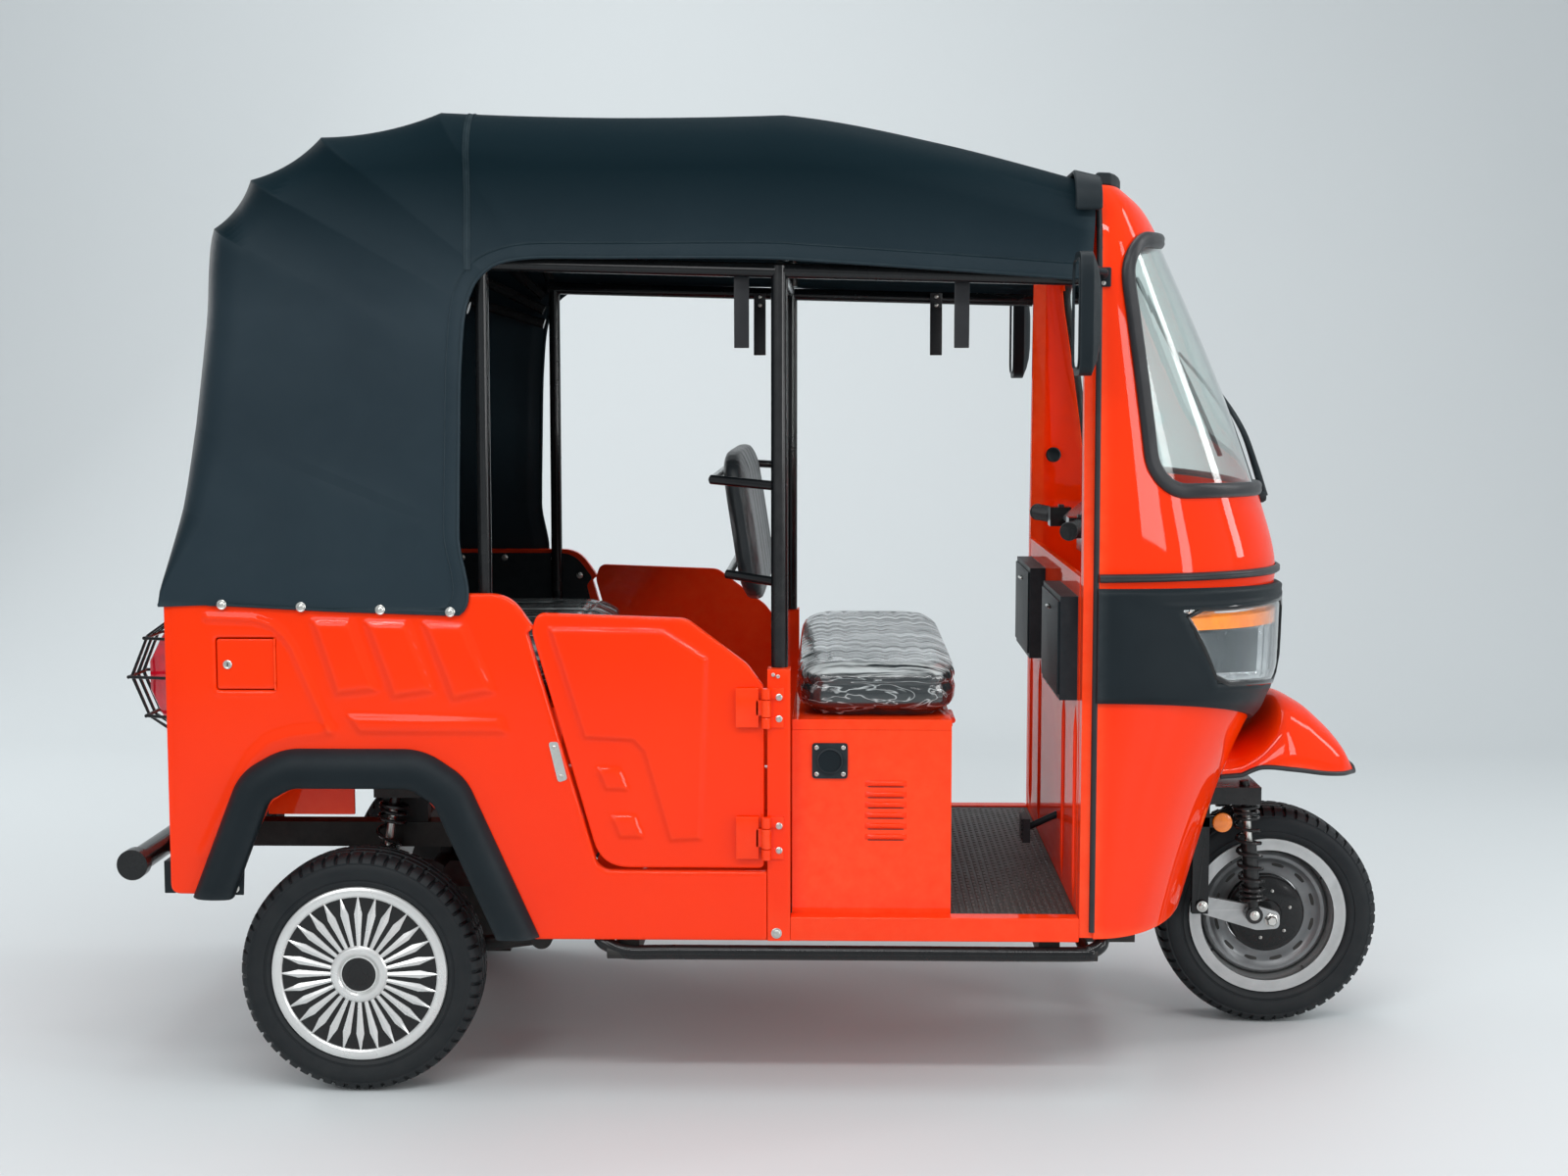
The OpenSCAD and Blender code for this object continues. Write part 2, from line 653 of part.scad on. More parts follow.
module headlights() {
    color([0.85, 0.87, 0.88, 0.6]) for (first = [cowl_cols / 2 - 7, cowl_cols / 2 + 2])
        grid_shell(lamp_grid(2 - mask_t, first), lamp_grid(-2 * seat, first), function(i, j) true);
}

// ---------- fender ----------

function fender_top(x) = lookup(x, [[-100, 615], [-52, 646], [8, 712], [60, 690], [100, 657], [150, 605], [176, 560]]);
function fender_low(x) = lookup(x, [[-100, 562], [-44, 580], [20, 572], [100, 556], [176, 545]]);
function fender_half_w(x) = lookup(x, [[-100, 214], [0, 190], [80, 150], [140, 105], [176, 48]]);
fender_xs = [-100, -52, 0, 50, 90, 125, 152, 170, 176];
fender_t = 6;

// Front face of the cowl at (y, z)
function cowl_front(y, z) =
    cab_x + (front_x + nose(z) - cab_x) * (1 - (abs(y) / cowl_half_w(z)) ^ roundness(z)) ^ (1 / roundness(z));

function fender_rib(x, t) =
    let (w = fender_half_w(x) - t, top = fender_top(x) - t, low = min(fender_low(x), top - 2))
    [for (a = [-90:15:90])
        let (y = w * sign(a) * abs(sin(a)) ^ 0.6, z = low + (top - low) * cos(a) ^ 0.75)
        [x == fender_xs[0] ? cowl_front(y, z) + 3 : front_x + x - (x == 176 ? t : 0), y, z]];

module front_fender() {
    color(paint) grid_shell([for (k = [len(fender_xs) - 1:-1:0]) fender_rib(fender_xs[k], 0)],
        [for (k = [len(fender_xs) - 1:-1:0]) fender_rib(fender_xs[k], fender_t)], function(i, j) true);
}

visor_t = 12;

// Section of the canopy at x from its front edge, grown by d
function collar_rib(x, d) =
    let (top = crest()[0][1] + d - x * (crest()[1][1] - crest()[0][1]) / (crest()[0][0] - crest()[1][0]))
    rib([canopy_front_x + x, roof_z - 190], [canopy_front_x + x, top], canopy_y + d, shoulder_r + d);

module head_visor() {
    color(black) {
        // collar over the front edge of the canopy
        grid_shell([for (x = [8, -42]) collar_rib(x, visor_t)], [for (x = [8, -42]) collar_rib(x, seat)],
            function(i, j) true);
        // brow on top of the cowl
        translate([0, 0, cowl_rows[16][0] + seat]) linear_extrude(26) polygon(concat([[canopy_front_x + 8 + seat, -474]],
            [for (a = [-70:10:70]) let (p = cowl_point(a, 1735, 3)) [p[0], p[1]]], [[canopy_front_x + 8 + seat, 474]]));
    }
}

// ---------- cab interior ----------

wall_x = cab_x - 26;

module dashboard() {
    color(black) {
        block([wall_x, -inner_y + 34, sill_z + 2], [wall_x + 12, inner_y - 34, 1000]);
        for (s = [[-inner_y + 60, -150], [150, inner_y - 60]]) block([wall_x - 34, s[0], 760], [wall_x + 1, s[1], 960]);
        // brake pedal
        bar([wall_x + 2, -140, 470], [wall_x - 62, -140, 440], 7);
        block([wall_x - 74, -175, 415], [wall_x - 58, -105, 465]);
    }
}

box_x0 = post_x1 + 3;
box_x1 = box_x0 + seat_box_l;
box_y = side_y - 40;
box_top_z = floor_z + seat_box_h;

module seat_box() {
    color(paint) {
        difference() {
            block([box_x0, -box_y, floor_z], [box_x1, box_y, box_top_z]);
            block([box_x0 + 12, -box_y + 12, floor_z + 12], [box_x1 - 12, box_y - 12, box_top_z + 1]);
        }
        // hinge brackets along the front edge
        both() for (y = [300, 380])
            translate([lid_hinge_x, y, lid_hinge_z]) rotate([-90, 0, 0]) cylinder(h = 25, r = 6, $fn = 24);
        both() block([box_x1 - 2, 300, lid_hinge_z - 12], [lid_hinge_x, 325, lid_hinge_z - 1]);
        both() block([box_x1 - 2, 380, lid_hinge_z - 12], [lid_hinge_x, 405, lid_hinge_z - 1]);
        both() translate([lid_hinge_x, 300, lid_hinge_z]) rotate([-90, 0, 0]) cylinder(h = 105, r = 3, $fn = 24);
    }
}

lid_t = 20;
lid_hinge_x = box_x1 + 8;
lid_hinge_z = box_top_z;

module seat_lid() {
    color(paint) difference() {
        union() {
            block([box_x0, -box_y, box_top_z + seat], [box_x1, box_y, box_top_z + lid_t]);
            both() translate([lid_hinge_x, 330, lid_hinge_z]) rotate([-90, 0, 0]) cylinder(h = 45, r = 6, $fn = 24);
            both() block([box_x1 - 2, 330, lid_hinge_z + seat], [lid_hinge_x, 375, lid_hinge_z + 6]);
        }
        both() translate([lid_hinge_x, 329, lid_hinge_z]) rotate([-90, 0, 0])
            cylinder(h = 47, r = 3 + shaft_play, $fn = 24);
    }
}

module driver_cushion() {
    z = box_top_z + lid_t + soft_gap;
    color(black) hull() {
        block([box_x0 + 6, -box_y + 16, z], [box_x1 + 14, box_y - 16, z + driver_pad_t - 30]);
        block([box_x0 + 24, -box_y + 50, z + 10], [box_x1 - 14, box_y - 50, z + driver_pad_t]);
    }
}

rest_x = rear_x + 756;

module driver_backrest() {
    color(black) hull() for (s = [0, 1])
        translate([rest_x - 46 * s, 0, 932 + 275 * s])
            block([-26, -400 + 10 * s, 0], [26, 400 - 10 * s, 24]);
}

// ---------- rear end ----------

bumper_r = 24;
bumper_cap_r = 30;
bumper_x = rear_x - rear_overhang + bumper_cap_r;
bumper_z = rail_rear_z;

module rear_bumper() {
    color(black) {
        cross_bar(bumper_x, bumper_z, side_y - 60, bumper_r);
        both() translate([bumper_x, side_y - 64, bumper_z]) rotate([-90, 0, 0]) cylinder(h = 30, r = bumper_cap_r, $fn = 48);
        both() block([bumper_x, rail_y - 12, bumper_z - 20], [body_rear_x, rail_y + 12, bumper_z + 20]);
        both() block([body_rear_x - 10, rail_y - 45, bumper_z - 50], [body_rear_x, rail_y + 45, bumper_z + 40]);
    }
}

lamp_y = 470;

module tail_lamps() {
    color("crimson") both() hull() {
        block([body_rear_x - 8, lamp_y - 62, 705], [body_rear_x, lamp_y + 62, 905]);
        block([body_rear_x - 52, lamp_y - 34, 760], [body_rear_x - 8, lamp_y + 34, 830]);
    }
}

guard_r = 3;
guard_reach = 84;

// One wire of a lamp guard that stands out from the tail at height z
module guard_hoop(z, reach) {
    w = 74;
    x = body_rear_x - reach;
    for (s = [-1, 1]) bar([body_rear_x - 1.2, lamp_y + s * w, z], [x - 2, lamp_y + s * (w - 20), z], guard_r, 16);
    bar([x, lamp_y - w + 17, z], [x, lamp_y + w - 17, z], guard_r + 0.4, 16);
}

module lamp_guards() {
    color(black) both() {
        for (row = [[730, 52], [805, guard_reach], [880, 52]]) guard_hoop(row[0], row[1]);
        for (y = [-34, 0, 34]) slab(lamp_y + y - 2.5, lamp_y + y + 2.5) polygon([
            [body_rear_x - seat, 922], [body_rear_x - 54, 884], [body_rear_x - guard_reach - 2, 807],
            [body_rear_x - guard_reach - 2, 803], [body_rear_x - 54, 726], [body_rear_x - seat, 690], [body_rear_x - seat, 696],
            [body_rear_x - 50, 728], [body_rear_x - guard_reach + 3, 805], [body_rear_x - 50, 882],
            [body_rear_x - seat, 916]]);
    }
}

hub_r = hub_bore_d / 2;
wheel_y = track / 2;
axle_r = 32;

module rear_axle() {
    color(black) {
        cross_bar(rear_x, axle_z, wheel_y - 62, axle_r);
        cross_bar(rear_x, axle_z, wheel_y + 28, hub_r);
        both() translate([rear_x, wheel_y - 62, axle_z]) rotate([90, 0, 0]) cylinder(h = 12, r = 90, $fn = 64);
        // gearbox and traction motor, one plain block each
        translate([rear_x, 70, axle_z]) rotate([90, 0, 0]) cylinder(h = 140, r = 88, $fn = 64);
        translate([rear_x + 20, 60, axle_z + 6]) block([40, -200, -70], [210, 40, 70]);
        // trailing arms and their pivots on the frame rails
        both() {
            bar([rear_x, rail_y + 60, axle_z - 10], [rear_x + 330, rail_y + 42, axle_z + 30], 16);
            translate([rear_x + 330, rail_y + 25 + seat, axle_z + 30]) rotate([-90, 0, 0]) cylinder(h = 36, r = 22, $fn = 32);
        }
    }
}

damper_y = rail_y + 65;

module rear_dampers() {
    color(black) both() {
        bar([rear_x, damper_y, axle_z + axle_r + 2.8], [rear_x + 44, damper_y, deck_z - 43], 14);
        bar([rear_x + 12, damper_y, axle_z + axle_r + 68], [rear_x + 40, damper_y, deck_z - 65], 30);
    }
}

// ---------- steering ----------

crown_z0 = tyre_d + 24;
crown_z1 = crown_z0 + 36;
leg_y = 107;
pivot_x = front_x - 152;
pivot_z = axle_z + 37;
handle_z = 1050;

damper_rod_r = 11.5;
damper_foot = [front_x - 41, 112, axle_z + 17];
damper_top = [front_x - 67, 112, crown_z1 + 10];
damper_dir = (damper_top - damper_foot) / norm(damper_top - damper_foot);

module front_fork() {
    color(black) {
        bar([stem_x(crown_z0 + 6), 0, crown_z0 + 6], [stem_x(handle_z - 8), 0, handle_z - 8], stem_r);
        difference() {
            block([front_x - 186, -142, crown_z0], [front_x - 36, 142, crown_z1]);
            both() bar(damper_foot + 150 * damper_dir, damper_top + 40 * damper_dir, damper_rod_r + seat);
        }
        both() {
            block([pivot_x - 20, leg_y - 11, pivot_z - 18], [pivot_x + 14, leg_y + 11, crown_z0 + 1]);
            translate([pivot_x, 79, pivot_z]) rotate([-90, 0, 0]) cylinder(h = 48, r = 10, $fn = 32);
        }
    }
    color(steel) both() {
        // leading links from the pivot to the axle
        slab(79, 92) polygon(rounded([[pivot_x - 16, pivot_z + 18, 8], [front_x - 30, axle_z + 30, 8],
            [front_x + 18, axle_z + 16, 12], [front_x + 18, axle_z - 18, 12], [front_x - 30, axle_z - 22, 8],
            [pivot_x - 16, pivot_z - 18, 8]]));
        translate([front_x - 41, 90, axle_z + 17]) rotate([-90, 0, 0]) cylinder(h = 34, r = 9, $fn = 32);
    }
    color(steel) cross_bar(front_x, axle_z, 98, 9);
}

module front_dampers() {
    color(black) both() difference() {
        union() {
            bar(damper_foot, damper_top, damper_rod_r);
            bar(damper_foot + 38 * damper_dir, damper_top - 58 * damper_dir, 29);
            translate([damper_foot[0], 96, damper_foot[2]]) rotate([-90, 0, 0]) cylinder(h = 28, r = 18, $fn = 32);
        }
        translate([damper_foot[0], 80, damper_foot[2]]) rotate([-90, 0, 0]) cylinder(h = 60, r = 9 + shaft_play, $fn = 32);
    }
}

bar_x = stem_x(handle_z);
grip_back = 105;

module handlebar() {
    color(black) {
        difference() {
            block([bar_x - 45, -60, handle_z - 40], [bar_x + 35, 60, handle_z + 24]);
            bar([stem_x(handle_z - 60), 0, handle_z - 60], [stem_x(handle_z - 8), 0, handle_z - 8], stem_r + seat);
        }
        both() {
            bar([bar_x - 10, 50, handle_z + 4], [bar_x - 60, 190, handle_z + 22], 11);
            bar([bar_x - 60, 188, handle_z + 22], [bar_x - grip_back, bar_w / 2, handle_z + 24], 11);
            bar([bar_x - 76, 225, handle_z + 23], [bar_x - grip_back, bar_w / 2, handle_z + 24], 17);
            block([bar_x - 92, 160, handle_z + 2], [bar_x - 46, 212, handle_z + 44]);
        }
        // instrument pod
        hull() {
            block([bar_x - 70, -95, handle_z + 20], [bar_x + 20, 95, handle_z + 30]);
            block([bar_x - 20, -80, handle_z + 50], [bar_x + 25, 80, handle_z + 72]);
        }
    }
}

// ---------- wheels ----------

bead_r = rim_d / 2 - 19;

module tyre() {
    w = tyre_w / 2;
    r = tyre_r;
    rotate([90, 0, 0]) rotate_extrude($fn = 96) polygon([
        [bead_r + seat, -w + 14], [rim_d / 2 + 1, -w + 14], [rim_d / 2 + 8, -w + 5], [r - 38, -w], [r - 18, -w + 2],
        [r - 6, -w + 10], [r, -w + 24], [r, w - 24], [r - 6, w - 10], [r - 18, w - 2], [r - 38, w],
        [rim_d / 2 + 8, w - 5], [rim_d / 2 + 1, w - 14], [bead_r + seat, w - 14]]);
}

// Pressed rim: barrel with flanges, and a disc at disc_y that carries the hub bore
module rim(disc_y, bore_r) {
    w = tyre_w / 2 - 14 + seat;
    rotate([90, 0, 0]) rotate_extrude($fn = 96) polygon([
        [bead_r - 7, -w - 3], [rim_d / 2, -w - 3], [rim_d / 2, -w], [bead_r, -w], [bead_r, w], [rim_d / 2, w],
        [rim_d / 2, w + 3], [bead_r - 7, w + 3]]);
    translate([0, disc_y, 0]) rotate([90, 0, 0]) rotate_extrude($fn = 96) polygon([
        [bore_r, -20], [52, -20], [52, -6], [bead_r - 6, -6], [bead_r - 6, 6], [52, 6], [52, 20], [bore_r, 20]]);
}

module rear_rim() {
    color(steel) translate([rear_x, -wheel_y, axle_z]) rim(-5, hub_r + shaft_play);
}

module wheel_cover() {
    color(steel) translate([rear_x, -wheel_y - tyre_w / 2 + 11 - 3 - 2 * seat, axle_z]) rotate([90, 0, 0]) rotate_extrude($fn = 96) polygon([
        [0, 0], [52, 0], [rim_d / 2 - 8, -3], [rim_d / 2 + 3, -2], [rim_d / 2, 4], [rim_d / 2 - 10, 5], [62, 3],
        [46, 9], [0, 9]]);
}

module front_tyre() {
    color(rubber) translate([front_x, 0, axle_z]) tyre();
}

module front_rim() {
    color(steel) translate([front_x, 0, axle_z]) {
        rim(0, 9 + shaft_play);
        rotate([90, 0, 0]) difference() {
            translate([0, 0, -45]) cylinder(h = 90, r = 82, $fn = 64);
            translate([0, 0, -46]) cylinder(h = 92, r = 9 + shaft_play, $fn = 48);
        }
    }
}

module rear_tyre() {
    color(rubber) translate([rear_x, -wheel_y, axle_z]) tyre();
}

module mirrors() {
    color(black) both() {
        block([cab_x - 12, cowl_half_w(1545) - 1.5, 1545], [cab_x + 20, cowl_half_w(1545) + 8, 1577]);
        bar([cab_x + 4, cowl_half_w(1545) + 5, 1561], [cab_x - 34, side_y + 72, 1583], 8);
        hull() {
            block([cab_x - 62, side_y + 62, 1400], [cab_x - 26, side_y + 182, 1580]);
            block([cab_x - 56, side_y + 72, 1378], [cab_x - 32, side_y + 165, 1600]);
        }
    }
}

chassis_frame();
floor_pan();
floor_mat();
side_panel_right();
side_panel_left();
tail_panel();
rear_deck();
passenger_seat();
hinge_posts();
roof_frame();
roof_bows();
canopy();
head_visor();
cab_shell();
windscreen();
front_mask();
headlights();
front_fender();
dashboard();
seat_box();
driver_backrest();
rear_bumper();
tail_lamps();
lamp_guards();
rear_axle();
rear_dampers();
wheel_flares();
mirrors();
hand_straps();
door_right();
door_left();
charge_flap();
seat_lid();
driver_cushion();
front_fork();
front_dampers();
handlebar();
front_tyre();
front_rim();
rear_tyre();  // rear_tyre_right
mirror([0, 1, 0]) rear_tyre();  // rear_tyre_left
rear_rim();  // rear_rim_right
mirror([0, 1, 0]) rear_rim();  // rear_rim_left
wheel_cover();  // wheel_cover_right
mirror([0, 1, 0]) wheel_cover();  // wheel_cover_left
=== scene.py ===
import bpy, bmesh, json, math, time
import numpy as np
from mathutils import Vector, Matrix, noise
from mathutils.bvhtree import BVHTree
from mathutils.geometry import delaunay_2d_cdt


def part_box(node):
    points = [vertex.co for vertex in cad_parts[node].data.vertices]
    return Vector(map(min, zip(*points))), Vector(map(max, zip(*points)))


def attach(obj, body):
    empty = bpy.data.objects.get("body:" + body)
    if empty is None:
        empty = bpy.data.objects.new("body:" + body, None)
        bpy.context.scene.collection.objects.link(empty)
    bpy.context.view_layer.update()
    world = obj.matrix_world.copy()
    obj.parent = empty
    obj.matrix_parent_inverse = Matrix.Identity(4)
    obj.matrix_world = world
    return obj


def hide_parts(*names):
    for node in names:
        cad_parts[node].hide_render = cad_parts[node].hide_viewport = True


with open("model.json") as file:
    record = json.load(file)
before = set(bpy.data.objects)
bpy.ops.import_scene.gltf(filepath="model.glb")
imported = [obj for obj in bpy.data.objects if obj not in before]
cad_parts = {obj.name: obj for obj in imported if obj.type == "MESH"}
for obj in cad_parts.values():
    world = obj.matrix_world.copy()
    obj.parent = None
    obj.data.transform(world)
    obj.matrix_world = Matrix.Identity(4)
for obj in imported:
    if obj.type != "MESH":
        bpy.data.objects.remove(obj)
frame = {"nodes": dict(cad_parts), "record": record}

started = time.time()
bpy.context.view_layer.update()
scene = bpy.context.scene


def stage(text):
    print("[rickshaw] %5.1f s  %s" % (time.time() - started, text))


def corners(node):        # lowest and highest corner of a CAD node, in millimetres
    low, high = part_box(node)
    return low * 1000, high * 1000


def middle(node):
    low, high = corners(node)
    return (low + high) / 2


# places that the whole vehicle hangs on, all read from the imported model
rearX = middle("rear_tyre_right").x
rearWheelY = middle("rear_tyre_left").y
frontX = middle("front_tyre").x
axleZ = middle("front_tyre").z
tyreR = corners("front_tyre")[1].z - axleZ
sideY = corners("side_panel_left")[1].y
innerY = corners("side_panel_left")[0].y
cabX = corners("cab_shell")[0].x + 26
roofZ = corners("canopy")[1].z
sillZ = corners("hinge_posts")[0].z
stage("frame loaded, wheelbase %.0f mm" % (frontX - rearX))


# camera
cameraSettings = {"lens": 49.32, "place": (0.10725, -4.579, 1.363), "pan": -0.0226, "pitch": 0.0944}
camData = bpy.data.cameras.new("viewCamera")
camData.lens = cameraSettings["lens"]
camData.sensor_width = 36
camera = bpy.data.objects.new("viewCamera", camData)
scene.collection.objects.link(camera)
pan, pitch = cameraSettings["pan"], cameraSettings["pitch"]
lookAlong = Vector((math.sin(pan) * math.cos(pitch), math.cos(pan) * math.cos(pitch), -math.sin(pitch)))
camera.location = cameraSettings["place"]
camera.rotation_euler = lookAlong.to_track_quat("-Z", "Y").to_euler()
scene.camera = camera


# shader groups
def newGroup(name, inputs, outputs):
    group = bpy.data.node_groups.new(name, "ShaderNodeTree")
    for label, value in inputs:
        socket = group.interface.new_socket(label, in_out="INPUT", socket_type="NodeSocketFloat")
        socket.default_value = value
    for label in outputs:
        group.interface.new_socket(label, in_out="OUTPUT", socket_type="NodeSocketFloat")
    return group, group.nodes.new("NodeGroupInput"), group.nodes.new("NodeGroupOutput")


def mathNode(tree, kind, a, b=None, c=None, clamp=False):
    node = tree.nodes.new("ShaderNodeMath")
    node.operation = kind
    node.use_clamp = clamp
    for k, value in enumerate((a, b, c)):
        if value is None:
            continue
        if hasattr(value, "is_linked"):
            tree.links.new(value, node.inputs[k])
        else:
            node.inputs[k].default_value = value
    return node.outputs[0]


def noiseNode(tree, vector, scale, detail=2.0, rough=0.5, distort=0.0):
    node = tree.nodes.new("ShaderNodeTexNoise")
    tree.links.new(vector, node.inputs["Vector"])
    if hasattr(scale, "is_linked"):
        tree.links.new(scale, node.inputs["Scale"])
    else:
        node.inputs["Scale"].default_value = scale
    node.inputs["Detail"].default_value = detail
    node.inputs["Roughness"].default_value = rough
    node.inputs["Distortion"].default_value = distort
    return node.outputs["Fac"]


def objectPlace(tree):
    return tree.nodes.new("ShaderNodeTexCoord").outputs["Object"]


grainGroup, gIn, gOut = newGroup("surfaceGrain", [("Scale", 900.0), ("Broad Scale", 5.0)], ["Fine", "Broad"])
place = objectPlace(grainGroup)
grainGroup.links.new(noiseNode(grainGroup, place, gIn.outputs["Scale"], 3.0, 0.6), gOut.inputs["Fine"])
grainGroup.links.new(noiseNode(grainGroup, place, gIn.outputs["Broad Scale"], 4.0, 0.55, 0.4),
                     gOut.inputs["Broad"])

# edge lightening on sharp edges is a painted highlight, in part also rubbed wear; the dust mask is real dust
# lying low down
edgeHighlightDustGroup, wIn, wOut = newGroup("paintedEdgeHighlightAndDust", [("Edge", 0.5), ("Dust", 0.3)], ["Edge", "Dust"])
geometry = edgeHighlightDustGroup.nodes.new("ShaderNodeNewGeometry")
patchy = noiseNode(edgeHighlightDustGroup, objectPlace(edgeHighlightDustGroup), 38.0, 5.0, 0.65)
sharp = mathNode(edgeHighlightDustGroup, "MULTIPLY", mathNode(edgeHighlightDustGroup, "SUBTRACT", geometry.outputs["Pointiness"],
                                                 0.515), 16.0, clamp=True)
edge = mathNode(edgeHighlightDustGroup, "MULTIPLY", sharp, mathNode(edgeHighlightDustGroup, "MULTIPLY", patchy, wIn.outputs["Edge"]))
edgeHighlightDustGroup.links.new(mathNode(edgeHighlightDustGroup, "MULTIPLY", edge, 1.6, clamp=True), wOut.inputs["Edge"])
separate = edgeHighlightDustGroup.nodes.new("ShaderNodeSeparateXYZ")
edgeHighlightDustGroup.links.new(objectPlace(edgeHighlightDustGroup), separate.inputs[0])
low = mathNode(edgeHighlightDustGroup, "SUBTRACT", 1.0, mathNode(edgeHighlightDustGroup, "MULTIPLY", separate.outputs["Z"], 1.5),
               clamp=True)
dusty = mathNode(edgeHighlightDustGroup, "MULTIPLY", mathNode(edgeHighlightDustGroup, "MULTIPLY", low, patchy), wIn.outputs["Dust"])
edgeHighlightDustGroup.links.new(dusty, wOut.inputs["Dust"])

weaveGroup, vIn, vOut = newGroup("clothWeave", [("Threads", 900.0)], ["Height"])
separate = weaveGroup.nodes.new("ShaderNodeSeparateXYZ")
weaveGroup.links.new(objectPlace(weaveGroup), separate.inputs[0])
waves = []
for axis in "XYZ":
    step = mathNode(weaveGroup, "MULTIPLY", separate.outputs[axis], vIn.outputs["Threads"])
    waves.append(mathNode(weaveGroup, "SINE", mathNode(weaveGroup, "MULTIPLY", step, 6.2832)))
crossed = mathNode(weaveGroup, "MULTIPLY", waves[0], waves[2])
crossed = mathNode(weaveGroup, "ADD", crossed, mathNode(weaveGroup, "MULTIPLY", waves[1], waves[2]))
weaveGroup.links.new(crossed, vOut.inputs["Height"])


def mixColour(tree, factor, a, b):
    node = tree.nodes.new("ShaderNodeMix")
    node.data_type = "RGBA"
    if hasattr(factor, "is_linked"):
        tree.links.new(factor, node.inputs["Factor"])
    else:
        node.inputs["Factor"].default_value = factor
    for socket, value in ((node.inputs[6], a), (node.inputs[7], b)):
        if hasattr(value, "is_linked"):
            tree.links.new(value, socket)
        else:
            socket.default_value = (*value, 1.0)
    return node.outputs[2]


def upMask(tree, start, width):        # 0 on upright faces, 1 on faces that look up
    geometry = tree.nodes.new("ShaderNodeNewGeometry")
    parts = tree.nodes.new("ShaderNodeSeparateXYZ")
    tree.links.new(geometry.outputs["True Normal"], parts.inputs[0])
    return mathNode(tree, "DIVIDE", mathNode(tree, "SUBTRACT", parts.outputs["Z"], start), width, clamp=True)


def finish(name, colour, shade=None, rough=0.4, roughSwing=0.08, metallic=0.0, coat=0.0, coatRough=0.04,
           grain=900.0, broad=5.0, bump=0.15, depth=0.0004, edge=0.0, edgeColour=(0.5, 0.5, 0.5), dust=0.0,
           weave=0.0, weaveDepth=0.0, sheen=0.0, specular=0.5, transmission=0.0, ior=1.45, streak=None,
           paintedTopShade=None):
    material = bpy.data.materials.new(name)
    material.use_nodes = True
    tree = material.node_tree
    shader = tree.nodes["Principled BSDF"]
    surface = tree.nodes.new("ShaderNodeGroup")
    surface.node_tree = grainGroup
    surface.inputs["Scale"].default_value = grain
    surface.inputs["Broad Scale"].default_value = broad
    fine, wide = surface.outputs["Fine"], surface.outputs["Broad"]
    shade = shade or tuple(c * 0.82 for c in colour)
    shift = mathNode(tree, "MULTIPLY", mathNode(tree, "SUBTRACT", wide, 0.35), 2.6, clamp=True)
    tint = mixColour(tree, shift, colour, shade)
    roughness = mathNode(tree, "ADD", mathNode(tree, "MULTIPLY", mathNode(tree, "SUBTRACT", wide, 0.5),
                                               roughSwing * 2), rough, clamp=True)
    if paintedTopShade:        # painted shade: darker where it faces up and near the roof line, standing in for the shade on the top
        spot = tree.nodes.new("ShaderNodeNewGeometry")
        parts = tree.nodes.new("ShaderNodeSeparateXYZ")
        tree.links.new(spot.outputs["Position"], parts.inputs[0])
        high = mathNode(tree, "DIVIDE", mathNode(tree, "SUBTRACT", parts.outputs["Z"], 1.50), 0.26,
                        clamp=True)
        deep = mathNode(tree, "MAXIMUM", high, upMask(tree, 0.05, 0.55))
        tint = mixColour(tree, deep, tint, paintedTopShade)
    # painted highlight: edgeColour lightens sharp edges where light would catch them, in part also rubbed
    # wear; dust is real dust
    if edge or dust:
        edgeHighlightDust = tree.nodes.new("ShaderNodeGroup")
        edgeHighlightDust.node_tree = edgeHighlightDustGroup
        edgeHighlightDust.inputs["Edge"].default_value = edge
        edgeHighlightDust.inputs["Dust"].default_value = dust
        tint = mixColour(tree, edgeHighlightDust.outputs["Edge"], tint, edgeColour)
        tint = mixColour(tree, edgeHighlightDust.outputs["Dust"], tint, (0.33, 0.30, 0.26))
        roughness = mathNode(tree, "ADD", roughness, mathNode(tree, "MULTIPLY", edgeHighlightDust.outputs["Dust"], 0.5),
                             clamp=True)
    height = fine
    if weave:
        cloth = tree.nodes.new("ShaderNodeGroup")
        cloth.node_tree = weaveGroup
        cloth.inputs["Threads"].default_value = weave
        height = mathNode(tree, "ADD", mathNode(tree, "MULTIPLY", cloth.outputs["Height"], weaveDepth), fine)
    if streak:
        stretched = tree.nodes.new("ShaderNodeMapping")
        stretched.inputs["Scale"].default_value = streak
        tree.links.new(objectPlace(tree), stretched.inputs["Vector"])
        height = mathNode(tree, "ADD", height, noiseNode(tree, stretched.outputs[0], 1.0, 4.0, 0.6))
    relief = tree.nodes.new("ShaderNodeBump")
    relief.inputs["Strength"].default_value = bump
    relief.inputs["Distance"].default_value = depth
    tree.links.new(height, relief.inputs["Height"])
    tree.links.new(relief.outputs[0], shader.inputs["Normal"])
    tree.links.new(tint, shader.inputs["Base Color"])
    tree.links.new(roughness, shader.inputs["Roughness"])
    shader.inputs["Metallic"].default_value = metallic
    shader.inputs["Coat Weight"].default_value = coat
    shader.inputs["Coat Roughness"].default_value = coatRough
    shader.inputs["Sheen Weight"].default_value = sheen
    # the same painted-shade mask also turns the specular down on the top
    if paintedTopShade:
        soft = mathNode(tree, "SUBTRACT", 1.0, mathNode(tree, "MULTIPLY", deep, 0.9))
        tree.links.new(mathNode(tree, "MULTIPLY", soft, specular), shader.inputs["Specular IOR Level"])
    else:
        shader.inputs["Specular IOR Level"].default_value = specular
    shader.inputs["Transmission Weight"].default_value = transmission
    shader.inputs["IOR"].default_value = ior
    material.diffuse_color = (*colour, 1)
    return material
